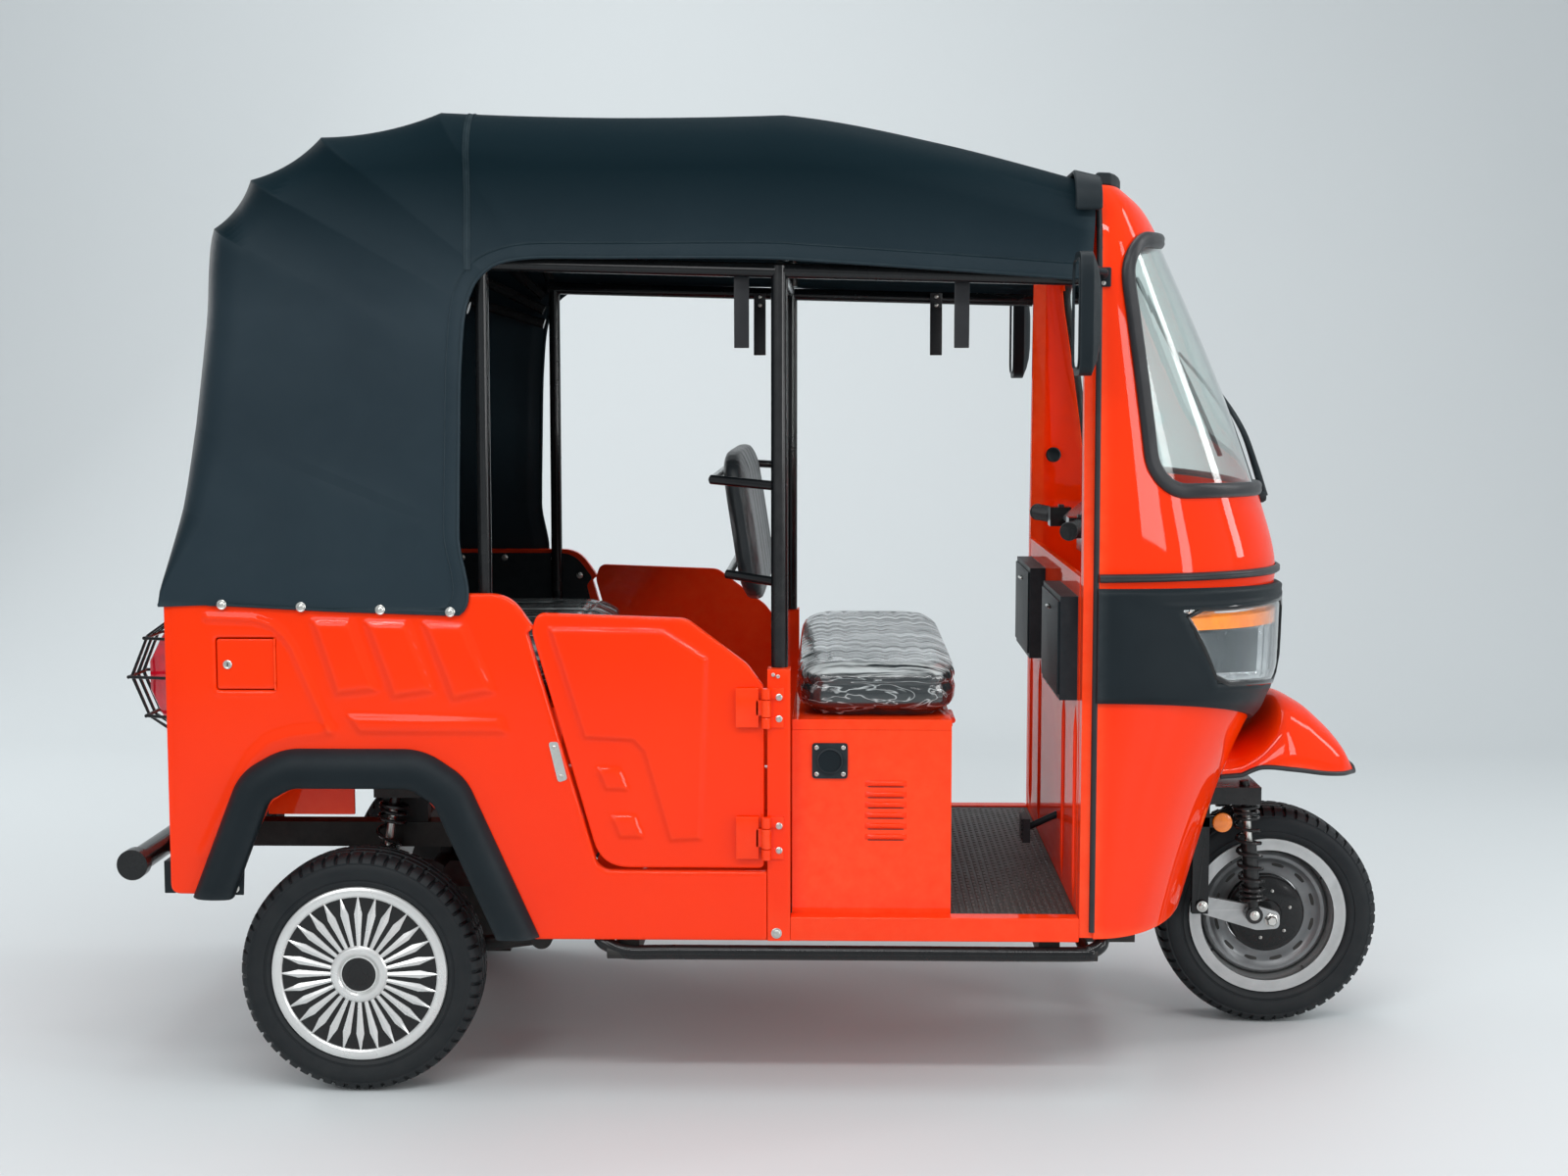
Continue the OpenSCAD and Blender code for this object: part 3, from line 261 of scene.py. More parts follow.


# the paint's lighter orange edge colour is a painted highlight along its edges
bodyPaint = finish("orangePaint", (0.88, 0.034, 0.0005), (0.86, 0.029, 0.0005), rough=0.32, roughSwing=0.05,
                   coat=0.5, coatRough=0.03, grain=420, broad=3.0, bump=0.10, depth=0.00025, edge=0.3,
                   edgeColour=(0.95, 0.13, 0.04), dust=0.02, specular=0.0)
# its top colour is painted shade: darker on faces that look up and near the roof line
canopyVinyl = finish("canopyVinyl", (0.014, 0.027, 0.036), (0.010, 0.021, 0.029), rough=0.44, roughSwing=0.08,
                     grain=1500, broad=4.0, bump=0.45, depth=0.0005, weave=520, weaveDepth=0.25, sheen=0.01,
                     edge=0.2, edgeColour=(0.07, 0.095, 0.105), dust=0.01, specular=0.18,
                     paintedTopShade=(0.0045, 0.0125, 0.017))
blackPlastic = finish("blackPlastic", (0.009, 0.0145, 0.018), (0.007, 0.0115, 0.0145), rough=0.46,
                      roughSwing=0.08, grain=2200, broad=7.0, bump=0.5, depth=0.0003, edge=0.35,
                      edgeColour=(0.05, 0.06, 0.065), dust=0.02, specular=0.15)
glossBlack = finish("glossBlackSteel", (0.004, 0.005, 0.006), (0.006, 0.007, 0.008), rough=0.26,
                    roughSwing=0.08, coat=0.4, coatRough=0.1, grain=600, broad=9.0, bump=0.12, depth=0.0003,
                    edge=0.3, edgeColour=(0.05, 0.05, 0.05), dust=0.03, specular=0.15)
chassisBlack = finish("chassisBlack", (0.007, 0.008, 0.009), (0.012, 0.012, 0.012), rough=0.45,
                      roughSwing=0.12, grain=500, broad=14.0, bump=0.3, depth=0.0005, edge=0.35,
                      edgeColour=(0.06, 0.06, 0.055), dust=0.10, specular=0.25)
tyreRubber = finish("tyreRubber", (0.0065, 0.0095, 0.012), (0.011, 0.014, 0.016), rough=0.52, roughSwing=0.10,
                    grain=700, broad=22.0, bump=0.35, depth=0.0006, edge=0.4, edgeColour=(0.035, 0.038, 0.04),
                    dust=0.035, specular=0.25)
rubberTrim = finish("rubberTrim", (0.022, 0.023, 0.026), (0.014, 0.015, 0.017), rough=0.38, roughSwing=0.08,
                    grain=1100, broad=12.0, bump=0.3, depth=0.0003, edge=0.2, edgeColour=(0.07, 0.07, 0.075),
                    specular=0.3)
matRubber = finish("matRubber", (0.015, 0.019, 0.018), (0.026, 0.029, 0.027), rough=0.50, roughSwing=0.12,
                   grain=900, broad=20.0, bump=0.4, depth=0.0006, edge=0.5, edgeColour=(0.075, 0.08, 0.075),
                   dust=0.06, specular=0.4)
seatVinyl = finish("seatVinyl", (0.011, 0.014, 0.016), (0.017, 0.020, 0.022), rough=0.33, roughSwing=0.10,
                   grain=1300, broad=9.0, bump=0.5, depth=0.0005, sheen=0.05, edge=0.2,
                   edgeColour=(0.06, 0.07, 0.07), specular=0.35)
wheelSilver = finish("wheelSilver", (0.68, 0.69, 0.68), (0.60, 0.61, 0.60), rough=0.28, roughSwing=0.08,
                     metallic=0.55, coat=0.4, coatRough=0.12, grain=1600, broad=12.0, bump=0.15, depth=0.0002,
                     edge=0.3, edgeColour=(0.88, 0.88, 0.87), dust=0.03)
rimSteel = finish("rimSteel", (0.48, 0.49, 0.49), (0.36, 0.37, 0.37), rough=0.34, roughSwing=0.12,
                  metallic=0.85, grain=900, broad=16.0, bump=0.25, depth=0.0003, edge=0.4,
                  edgeColour=(0.75, 0.75, 0.74), dust=0.06)
dishSteel = finish("dishSteel", (0.17, 0.18, 0.185), (0.11, 0.115, 0.12), rough=0.34, roughSwing=0.10,
                   metallic=0.6, grain=900, broad=14.0, bump=0.25, depth=0.0003, edge=0.3,
                   edgeColour=(0.45, 0.45, 0.45), dust=0.06)
zincSteel = finish("zincSteel", (0.62, 0.62, 0.58), (0.48, 0.48, 0.46), rough=0.30, roughSwing=0.12,
                   metallic=1.0, grain=1500, broad=30.0, bump=0.3, depth=0.0002, edge=0.3,
                   edgeColour=(0.85, 0.85, 0.82), dust=0.05)
redLens = finish("redLens", (0.62, 0.004, 0.020), (0.42, 0.002, 0.014), rough=0.10, roughSwing=0.04, coat=1.0,
                 coatRough=0.02, grain=260, broad=30.0, bump=0.25, depth=0.0008, streak=(0, 220, 220))
amberLens = finish("amberLens", (0.95, 0.26, 0.015), (0.75, 0.17, 0.01), rough=0.14, roughSwing=0.04,
                   coat=1.0, coatRough=0.03, grain=300, broad=40.0, bump=0.4, depth=0.001,
                   streak=(0, 260, 60))
lampChrome = finish("lampChrome", (0.82, 0.84, 0.85), (0.62, 0.65, 0.67), rough=0.12, roughSwing=0.06,
                    metallic=1.0, grain=220, broad=25.0, bump=0.25, depth=0.0008, streak=(0, 180, 20))
lampGrey = finish("lampGrey", (0.16, 0.18, 0.19), (0.10, 0.12, 0.13), rough=0.18, roughSwing=0.06,
                  metallic=0.7, grain=220, broad=20.0, bump=0.3, depth=0.001, streak=(0, 120, 14))
mirrorGlass = finish("mirrorGlass", (0.84, 0.86, 0.85), (0.78, 0.80, 0.80), rough=0.03, roughSwing=0.02,
                     metallic=1.0, grain=60, broad=3.0, bump=0.02, depth=0.0002)
darkScreen = finish("darkScreen", (0.012, 0.016, 0.020), (0.02, 0.024, 0.03), rough=0.08, roughSwing=0.03,
                    coat=1.0, coatRough=0.02, grain=80, broad=6.0, bump=0.03, depth=0.0002)


def glassFinish(name, colour, rough, bump, ior):
    material = finish(name, colour, colour, rough=rough, roughSwing=0.01, grain=30, broad=2.0, bump=bump,
                      depth=0.0004, transmission=1.0, ior=ior)
    tree = material.node_tree
    shader = tree.nodes["Principled BSDF"]
    clear = tree.nodes.new("ShaderNodeBsdfTransparent")
    clear.inputs[0].default_value = (*[0.5 + 0.5 * c for c in colour], 1)
    path = tree.nodes.new("ShaderNodeLightPath")
    mixed = tree.nodes.new("ShaderNodeMixShader")
    tree.links.new(path.outputs["Is Shadow Ray"], mixed.inputs[0])
    tree.links.new(shader.outputs[0], mixed.inputs[1])
    tree.links.new(clear.outputs[0], mixed.inputs[2])
    tree.links.new(mixed.outputs[0], tree.nodes["Material Output"].inputs["Surface"])
    return material


screenGlass = glassFinish("screenGlass", (0.90, 0.96, 0.94), 0.01, 0.02, 1.30)
lensClear = glassFinish("lensClear", (0.97, 0.98, 0.98), 0.02, 0.15, 1.35)


def filmFinish(name, colour):        # dark vinyl under clear crinkled film; the whitish crease lines are painted highlight
    material = finish(name, colour, rough=0.15, roughSwing=0.08, coat=1.0, coatRough=0.06, grain=70,
                      broad=9.0, bump=1.0, depth=0.004, edge=0.1, edgeColour=(0.3, 0.32, 0.33))
    tree = material.node_tree
    shader = tree.nodes["Principled BSDF"]

    def creases(turn, stretch, detail, wander):
        place = tree.nodes.new("ShaderNodeMapping")
        place.inputs["Rotation"].default_value = turn
        place.inputs["Scale"].default_value = stretch
        tree.links.new(objectPlace(tree), place.inputs["Vector"])
        return noiseNode(tree, place.outputs[0], 1.0, detail, 0.62, wander)
    gathers = creases((0, 0, 0.05), (4.5, 62, 20), 5.0, 0.9)
    folds = creases((0, 0.75, 0.2), (5.5, 14, 24), 2.0, 1.6)
    thin = mathNode(tree, "ABSOLUTE", mathNode(tree, "SUBTRACT", folds, 0.5), 0.0)
    thin = mathNode(tree, "MULTIPLY", mathNode(tree, "SUBTRACT", 0.022, thin), 46.0, clamp=True)
    loose = mathNode(tree, "MULTIPLY", mathNode(tree, "SUBTRACT", gathers, 0.60), 5.0, clamp=True)
    side = mathNode(tree, "MULTIPLY", mathNode(tree, "MAXIMUM", thin, loose), 0.75)
    top = mathNode(tree, "MULTIPLY", mathNode(tree, "SUBTRACT", gathers, 0.44), 6.5, clamp=True)
    up = upMask(tree, 0.45, 0.3)
    paintedCreaseHighlights = mathNode(tree, "ADD", mathNode(tree, "MULTIPLY", top, up),
                     mathNode(tree, "MULTIPLY", side, mathNode(tree, "SUBTRACT", 1.0, up)), clamp=True)
    # painted highlight: whitish colour along the creases stands in for light caught by the crinkled film
    old = shader.inputs["Base Color"].links[0].from_socket
    tree.links.new(mixColour(tree, paintedCreaseHighlights, old, (0.52, 0.56, 0.56)), shader.inputs["Base Color"])
    shine = mathNode(tree, "MULTIPLY", up, mathNode(tree, "SUBTRACT", 1.0, top))
    tree.links.new(mathNode(tree, "SUBTRACT", 1.0, mathNode(tree, "MULTIPLY", shine, 0.9)),
                   shader.inputs["Coat Weight"])
    tree.links.new(mathNode(tree, "SUBTRACT", 0.45, mathNode(tree, "MULTIPLY", shine, 0.4)),
                   shader.inputs["Specular IOR Level"])
    bumpNode = shader.inputs["Normal"].links[0].from_node
    tree.links.new(mathNode(tree, "ADD", gathers, mathNode(tree, "MULTIPLY", folds, 1.4)),
                   bumpNode.inputs["Height"])
    return material


seatFilm = filmFinish("seatFilm", (0.020, 0.026, 0.028))
stage("materials made")


# mesh helpers, all in millimetres
def clamp01(x):
    return np.clip(x, 0.0, 1.0)


def smooth(x):
    x = clamp01(x)
    return x * x * (3 - 2 * x)


def tableAt(x, table):
    return float(np.interp(x, [p[0] for p in table], [p[1] for p in table]))


def curveAt(x, table):        # the same table, joined by a curve with no overshoot
    if x <= table[0][0]:
        return table[0][1]
    for k in range(len(table) - 1):
        if x <= table[k + 1][0]:
            break
    else:
        return table[-1][1]
    slopes = [(table[i + 1][1] - table[i][1]) / (table[i + 1][0] - table[i][0])
              for i in range(len(table) - 1)]

    def tangent(i):
        if i == 0 or i == len(table) - 1:
            return slopes[min(i, len(slopes) - 1)]
        a, b = slopes[i - 1], slopes[i]
        return 0.0 if a * b <= 0 else 2 * a * b / (a + b)
    width = table[k + 1][0] - table[k][0]
    t = (x - table[k][0]) / width
    y0, y1, m0, m1 = table[k][1], table[k + 1][1], tangent(k) * width, tangent(k + 1) * width
    return ((2 * t ** 3 - 3 * t ** 2 + 1) * y0 + (t ** 3 - 2 * t ** 2 + t) * m0
            + (3 * t ** 2 - 2 * t ** 3) * y1 + (t ** 3 - t ** 2) * m1)


def sideOn(points):
    return [(p.x, p.z) for p in points]


def skinFaces(rows, n):        # the skin between rings of n points each
    return [(i * n + k, i * n + (k + 1) % n, (i + 1) * n + (k + 1) % n, (i + 1) * n + k)
            for i in range(rows - 1) for k in range(n)]


def splinePoints(points, steps=8, closed=False):        # a smooth line through the points
    points = [Vector(p) for p in points]
    n = len(points)
    made = []
    for i in range(n if closed else n - 1):
        p1, p2 = points[i], points[(i + 1) % n]
        p0 = points[i - 1] if closed or i > 0 else p1 * 2 - p2
        p3 = points[(i + 2) % n] if closed or i + 2 < n else p2 * 2 - p1
        for s in range(steps):
            t = s / steps
            made.append(0.5 * ((2 * p1) + (p2 - p0) * t + (2 * p0 - 5 * p1 + 4 * p2 - p3) * t * t
                               + (3 * p1 - p0 - 3 * p2 + p3) * t ** 3))
    if not closed:
        made.append(points[-1])
    return made


def roundedLine(points, radius, steps=6, closed=True):        # corners turned with arcs, in any plane
    points = [Vector(p) for p in points]
    n = len(points)
    made = []
    for i in range(n):
        if not closed and i in (0, n - 1):
            made.append(points[i])
            continue
        here, before, after = points[i], points[i - 1], points[(i + 1) % n]
        r = radius[i] if hasattr(radius, "__len__") else radius
        a, b = (before - here), (after - here)
        if r <= 0 or a.length < 1e-6 or b.length < 1e-6:
            made.append(here)
            continue
        half = a.angle(b) / 2
        reach = min(r / max(math.tan(half), 1e-3), a.length * 0.48, b.length * 0.48)
        start, end = here + a.normalized() * reach, here + b.normalized() * reach
        for s in range(steps + 1):
            t = s / steps
            made.append((1 - t) ** 2 * start + 2 * t * (1 - t) * here + t * t * end)
    return made


class Maker:        # collects the parts of one piece
    def __init__(self):
        self.verts, self.faces, self.slots = [], [], []

    def add(self, verts, faces, slot=0):
        base = len(self.verts)
        self.verts += [tuple(v) for v in verts]
        self.faces += [tuple(base + i for i in f) for f in faces]
        self.slots += [slot] * len(faces)

    def block(self, low, high, slot=0, bevel=0.0, turn=None):
        bm = bmesh.new()
        bmesh.ops.create_cube(bm, size=1)
        low, high = Vector(low), Vector(high)
        for v in bm.verts:
            v.co = Vector([low[k] + (v.co[k] + 0.5) * (high[k] - low[k]) for k in range(3)])
        if bevel:
            bmesh.ops.bevel(bm, geom=bm.edges[:], offset=bevel, segments=3, profile=0.6, affect="EDGES")
        if turn:
            centre = (low + high) / 2
            for v in bm.verts:
                v.co = centre + turn @ (v.co - centre)
        self.addMesh(bm, slot)

    def addMesh(self, bm, slot=0):
        bm.verts.index_update()
        self.add([v.co[:] for v in bm.verts], [[v.index for v in f.verts] for f in bm.faces], slot)
        bm.free()

    def tube(self, path, radius, sides=14, slot=0, closed=False, flat=1.0, up=None):
        path = [Vector(p) for p in path]
        n = len(path)
        tangents = []
        for i in range(n):
            a = path[i - 1] if closed or i > 0 else path[i]
            b = path[(i + 1) % n] if closed or i < n - 1 else path[i]
            tangents.append((b - a).normalized())
        normal = Vector(up) if up else tangents[0].orthogonal()
        verts, faces = [], []
        for i in range(n):
            normal = (normal - tangents[i] * normal.dot(tangents[i])).normalized()
            if up:
                fixed = Vector(up)
                normal = (fixed - tangents[i] * fixed.dot(tangents[i])).normalized()
            side = tangents[i].cross(normal)
            r = radius(i / max(n - 1, 1)) if callable(radius) else radius
            for k in range(sides):
                a = 2 * math.pi * k / sides
                verts.append(path[i] + normal * (r * flat * math.cos(a)) + side * (r * math.sin(a)))
        for i in range(n if closed else n - 1):
            for k in range(sides):
                j, m = (i + 1) % n, (k + 1) % sides
                faces.append((i * sides + k, i * sides + m, j * sides + m, j * sides + k))
        if not closed:
            faces.append(tuple(range(sides))[::-1])
            faces.append(tuple((n - 1) * sides + k for k in range(sides)))
        self.add(verts, faces, slot)

    def strip(self, path, outward, width, thick, slot=0, closed=False):        # flat band along a line
        path = [Vector(p) for p in path]
        n = len(path)
        verts, faces = [], []
        for i in range(n):
            a = path[i - 1] if closed or i > 0 else path[i]
            b = path[(i + 1) % n] if closed or i < n - 1 else path[i]
            along = (b - a).normalized()
            out = Vector(outward[i] if hasattr(outward[0], "__len__") else outward).normalized()
            across = along.cross(out).normalized()
            for s, t in ((-1, 0), (-0.8, 1), (0.8, 1), (1, 0)):
                verts.append(path[i] + across * (width / 2 * s) + out * (thick * t))
        for i in range(n if closed else n - 1):
            j = (i + 1) % n
            for k in range(4):
                m = (k + 1) % 4
                faces.append((i * 4 + k, i * 4 + m, j * 4 + m, j * 4 + k))
        if not closed:
            faces += [(3, 2, 1, 0), tuple((n - 1) * 4 + k for k in range(4))]
        self.add(verts, faces, slot)

    def lathe(self, profile, centre, axis, sides=64, slot=0, closed=True, shape=None):
        axis = Vector(axis).normalized()
        centre = Vector(centre)
        side = axis.orthogonal().normalized()
        other = axis.cross(side)
        n = len(profile)
        verts = []
        for k in range(sides):
            a = 2 * math.pi * k / sides
            out = side * math.cos(a) + other * math.sin(a)
            for i, (r, h) in enumerate(profile):
                if shape:
                    r, h, da = shape(k, i, r, h)
                    out = side * math.cos(a + da) + other * math.sin(a + da)
                verts.append(centre + out * r + axis * h)
        faces = []
        for k in range(sides):
            m = (k + 1) % sides
            for i in range(n if closed else n - 1):
                j = (i + 1) % n
                if profile[i][0] < 1e-6 and profile[j][0] < 1e-6:
                    continue
                faces.append((k * n + i, m * n + i, m * n + j, k * n + j))
        self.add(verts, faces, slot)

    def prism(self, outline, low, high, axis=1, slot=0):        # outline in the other two axes
        order = {0: (1, 2), 1: (0, 2), 2: (0, 1)}[axis]
        n = len(outline)
        verts = []
        for level in (low, high):
            for p in outline:
                v = [0, 0, 0]
                v[order[0]], v[order[1]], v[axis] = p[0], p[1], level
                verts.append(v)
        faces = [tuple(range(n)), tuple(range(2 * n - 1, n - 1, -1))]
        faces += [(i, n + i, n + (i + 1) % n, (i + 1) % n) for i in range(n)]
        self.add(verts, faces, slot)

    def bolt(self, centre, axis, r=7.0, slot=0):
        profile = [(0, -0.2), (r * 1.45, -0.2), (r * 1.45, 1.0), (r * 1.25, 1.6), (r, 1.8), (r * 0.98, 4.0),
                   (r * 0.8, 5.0), (r * 0.35, 5.2), (r * 0.3, 4.2), (0, 4.2)]
        self.lathe(profile, centre, axis, 20, slot, closed=False)

    def mirrored(self):        # adds the same parts on the other side of the vehicle
        base = len(self.verts)
        self.verts += [(x, -y, z) for x, y, z in self.verts[:base]]
        more = [tuple(base + i for i in reversed(f)) for f in self.faces]
        self.slots += self.slots[:]
        self.faces += more

    def piece(self, name, body, materials, stands=(), slot=None, sharp=35, weld=0.01):
        mesh = bpy.data.meshes.new(name)
        mesh.from_pydata([(x * 0.001, y * 0.001, z * 0.001) for x, y, z in self.verts], [], self.faces)
        materials = materials if isinstance(materials, (list, tuple)) else [materials]
        for m in materials:
            mesh.materials.append(m)
        mesh.polygons.foreach_set("material_index", self.slots)
        mesh.polygons.foreach_set("use_smooth", [True] * len(self.faces))
        bm = bmesh.new()
        bm.from_mesh(mesh)
        bmesh.ops.remove_doubles(bm, verts=bm.verts, dist=weld * 0.001)
        bmesh.ops.recalc_face_normals(bm, faces=bm.faces)
        limit = math.radians(sharp)
        for e in bm.edges:
            e.smooth = e.is_manifold and e.calc_face_angle(0) < limit
        bm.to_mesh(mesh)
        bm.free()
        obj = bpy.data.objects.new(name, mesh)
        scene.collection.objects.link(obj)
        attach(obj, body)
        if stands:
            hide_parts(*([stands] if isinstance(stands, str) else stands))
        return obj


def soften(obj, width, segments=2, angle=32):
    bevel = obj.modifiers.new("edges", "BEVEL")
    bevel.width = width * 0.001
    bevel.segments = segments
    bevel.limit_method = "ANGLE"
    bevel.angle_limit = math.radians(angle)
    bevel.harden_normals = True
    bevel.use_clamp_overlap = True


def softCopy(name, node, body, materials, bevel=2.0, segments=2, pick=None):
    source = frame["nodes"][node].data        # a CAD shape with its edges rounded off
    bm = bmesh.new()
    bm.from_mesh(source)
    bmesh.ops.remove_doubles(bm, verts=bm.verts, dist=0.00001)
    bmesh.ops.dissolve_limit(bm, angle_limit=math.radians(1.0), verts=bm.verts, edges=bm.edges)
    mesh = bpy.data.meshes.new(name)
    materials = materials if isinstance(materials, (list, tuple)) else [materials]
    for m in materials:
        mesh.materials.append(m)
    for f in bm.faces:
        f.smooth = True
        f.material_index = pick(f.calc_center_median() * 1000, f.normal) if pick else 0
    for e in bm.edges:
        e.smooth = e.is_manifold and e.calc_face_angle(0) < math.radians(32)
    bm.to_mesh(mesh)
    bm.free()
    obj = bpy.data.objects.new(name, mesh)
    scene.collection.objects.link(obj)
    if bevel:
        soften(obj, bevel, segments)
    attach(obj, body)
    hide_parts(node)
    return obj


def segmentDistance(points, a, b):
    a, b = np.array(a, float), np.array(b, float)
    d = b - a
    t = clamp01(((points - a) @ d) / max(d @ d, 1e-9))
    return np.hypot(*(points - a - t[:, None] * d).T)


def lineDistance(points, line, closed=True):
    best = np.full(len(points), 1e9)
    n = len(line)
    for i in range(n if closed else n - 1):
        best = np.minimum(best, segmentDistance(points, line[i][:2], line[(i + 1) % n][:2]))
    return best


def inside(points, line):
    x, y = points[:, 0], points[:, 1]
    odd = np.zeros(len(points), bool)
    n = len(line)
    for i in range(n):
        (x1, y1), (x2, y2) = line[i][:2], line[(i + 1) % n][:2]
        if y1 == y2:
            continue
        hit = ((y1 > y) != (y2 > y)) & (x < (x2 - x1) * (y - y1) / (y2 - y1) + x1)
        odd ^= hit
    return odd


def pressed(points, line, depth, ramp):        # a flat-bottomed pressing with sloping sides
    d = lineDistance(points, line) * np.where(inside(points, line), 1, -1)
    return -depth * smooth((d + ramp / 2) / ramp)


def ridge(points, line, height, width, closed=False):
    return height * (1 - smooth(lineDistance(points, line, closed) / width))


def evenly(line, spacing, closed=True):
    made = []
    n = len(line)
    for i in range(n if closed else n - 1):
        a, b = Vector(line[i][:2]), Vector(line[(i + 1) % n][:2])
        count = max(1, int(round((b - a).length / spacing)))
        made += [a.lerp(b, k / count) for k in range(count)]
    return made


def pressedSheet(maker, outline, holes, relief, place, thick, spacing=5.5, round_=4.0, slot=0):
    loops = [evenly(outline, spacing)] + [evenly(h, spacing) for h in holes]
    lows = np.array([min(p[0] for p in outline), min(p[1] for p in outline)])
    highs = np.array([max(p[0] for p in outline), max(p[1] for p in outline)])
    rows = []
    rise = spacing * 0.866
    for j in range(int((highs[1] - lows[1]) / rise) + 1):
        xs = np.arange(lows[0] + (j % 2) * spacing / 2, highs[0], spacing)
        rows.append(np.stack([xs, np.full(len(xs), lows[1] + j * rise)], 1))
    grid = np.concatenate(rows)

    def depthInside(points):
        ok = inside(points, outline)
        for h in holes:
            ok &= ~inside(points, h)
        d = lineDistance(points, outline)
        for h in holes:
            d = np.minimum(d, lineDistance(points, h))
        return np.where(ok, d, -d)
    grid = grid[depthInside(grid) > round_ + spacing * 0.55]
    rings = []
    for step in (0.12, 0.4, 1.0):
        for loop in loops:
            n = len(loop)
            for i in range(n):
                along = (loop[(i + 1) % n] - loop[i - 1]).normalized()
                for s in (1, -1):
                    rings.append(loop[i] + Vector((-along.y, along.x)) * (s * step * round_))
    rings = np.array([tuple(r) for r in rings])
    deep = depthInside(rings)
    want = np.repeat([0.12 * round_, 0.4 * round_, round_], len(rings) // 3)
    rings = rings[deep > want * 0.8]
    edgePoints = [p for loop in loops for p in loop]
    points = edgePoints + [Vector(p) for p in rings] + [Vector(p) for p in grid]
    edges = []
    base = 0
    for loop in loops:
        edges += [(base + i, base + (i + 1) % len(loop)) for i in range(len(loop))]
        base += len(loop)
    flat, _, tris, _, _, _ = delaunay_2d_cdt(points, edges, [], 0, 1e-4)
    flat2 = np.array([tuple(p) for p in flat])
    centres = np.array([flat2[list(t)].mean(0) for t in tris])
    keep = inside(centres, [tuple(p) for p in loops[0]])
    for loop in loops[1:]:
        keep &= ~inside(centres, [tuple(p) for p in loop])
    d = np.maximum(depthInside(flat2), 0)
    dip = np.where(d < round_, round_ - np.sqrt(np.maximum(round_ ** 2 - (round_ - d) ** 2, 0)), 0)
    heights = relief(flat2) * smooth(d / (round_ * 2)) - dip
    front = [place(p[0], p[1], h) for p, h in zip(flat2, heights)]
    maker.add(front, [tuple(t) for t, k in zip(tris, keep) if k], slot)
    # back face and rim
    backFlat, _, backTris, _, _, _ = delaunay_2d_cdt(edgePoints, edges, [], 0, 1e-4)
    back2 = np.array([tuple(p) for p in backFlat])
    centres = np.array([back2[list(t)].mean(0) for t in backTris])
    keep = inside(centres, [tuple(p) for p in loops[0]])
    for loop in loops[1:]:
        keep &= ~inside(centres, [tuple(p) for p in loop])
    maker.add([place(p[0], p[1], -thick) for p in back2], [tuple(reversed(t))
                                                           for t, k in zip(backTris, keep) if k], slot)
    for loop in loops:
        n = len(loop)
        rim = [place(p.x, p.y, -round_) for p in loop] + [place(p.x, p.y, -thick) for p in loop]
        maker.add(rim, skinFaces(2, n), slot)


def loftGrid(maker, outer, inner, keep, slot=0):
    rows, cols = len(outer), len(outer[0])
    base = rows * cols
    at = lambda i, j: i * cols + j
    there = lambda i, j: 0 <= i < rows - 1 and 0 <= j < cols - 1 and keep(i, j)
    faces = []
    for i in range(rows - 1):
        for j in range(cols - 1):
            if not keep(i, j):
                continue
            a, b, c, d = at(i, j), at(i, j + 1), at(i + 1, j + 1), at(i + 1, j)
            faces += [(a, b, c, d), (base + d, base + c, base + b, base + a)]
            for ok, p, q in ((there(i - 1, j), a, b), (there(i, j + 1), b, c), (there(i + 1, j), c, d),
                             (there(i, j - 1), d, a)):
                if not ok:
                    faces.append((p, base + p, base + q, q))
    maker.add([p for r in outer for p in r] + [p for r in inner for p in r], faces, slot)


# CAD parts whose shape is right get their finish here; the others are replaced further on
slotFinish = {"chassis": chassisBlack, "paint": bodyPaint, "canopy_cloth": canopyVinyl,
              "rubber_mat": matRubber, "seat_vinyl": seatVinyl, "black_plastic": blackPlastic,
              "lens_red": redLens, "lens_clear": lensClear, "screen_glass": screenGlass,
              "tyre_rubber": tyreRubber, "steel_silver": rimSteel, "cover_silver": wheelSilver,
              "wire_black": glossBlack, "mirror_case": blackPlastic}
for part in frame["record"]["subparts"]:
    data = frame["nodes"][part["node"]].data
    data.materials.clear()
    data.materials.append(slotFinish.get(part["material_slot"], blackPlastic))
stage("helpers ready, CAD parts painted")


# body sides
sideSettings = {"spacing": 5.5, "edge": 4.0, "recess": 7.0, "ramp": 16.0}


def fromRear(points):
    return [(rearX + x, z) for x, z in points]


archTop = tyreR * 2 + 133
hingePost = corners("hinge_posts")
doorLine = roundedLine([Vector((rearX + x, 0, z)) for x, z in [(781, 447), (470, 447), (341, 900), (352, 934),
                       (634, 924), (748, 838), (781, 794)]], [12, 70, 40, 20, 40, 50, 30], 8)
doorLine = sideOn(doorLine)
panelPoints = [(-355, 393), (-246, 392), (-163, archTop - 32), (-114, archTop), (118, archTop),
               (163, archTop - 50), (285, sillZ + 12), (335, sillZ), (786, sillZ), (786, 441), (478, 441)]
panelRadii = [20, 0, 40, 40, 40, 40, 0, 20, 0, 0, 66]
panelPoints += [(462, 452), (334, 896), (345, 906), (300, 970), (-355, 970)]
panelRadii += [40, 0, 0, 90, 10]
sideLine = sideOn(roundedLine([Vector((rearX + x, 0, z)) for x, z in panelPoints], panelRadii, 8))
recesses = [fromRear(r) for r in ([(-72, 919), (0, 918), (46, 788), (-28, 780)],
                                  [(30, 916), (107, 914), (154, 786), (80, 775)],
                                  [(140, 914), (214, 911), (266, 786), (192, 771)])]
ridgeLine = fromRear([(-272, 926), (-233, 925), (-184, 923), (-150, 912), (-128, 893), (-110, 868),
                      (-94, 828), (-76, 786), (-44, 709)])
flareRidge = fromRear([(-44, 709), (-78, 704), (-116, 700), (-158, 686), (-192, 655), (-222, 604),
                       (-256, 540), (-290, 470)])
longRib = fromRear([(-8, 737), (284, 732), (292, 706), (14, 706)])
flapLow, flapHigh = corners("charge_flap")
flapBox = (flapLow.x, flapLow.z, rearX - 146.5, flapHigh.z)


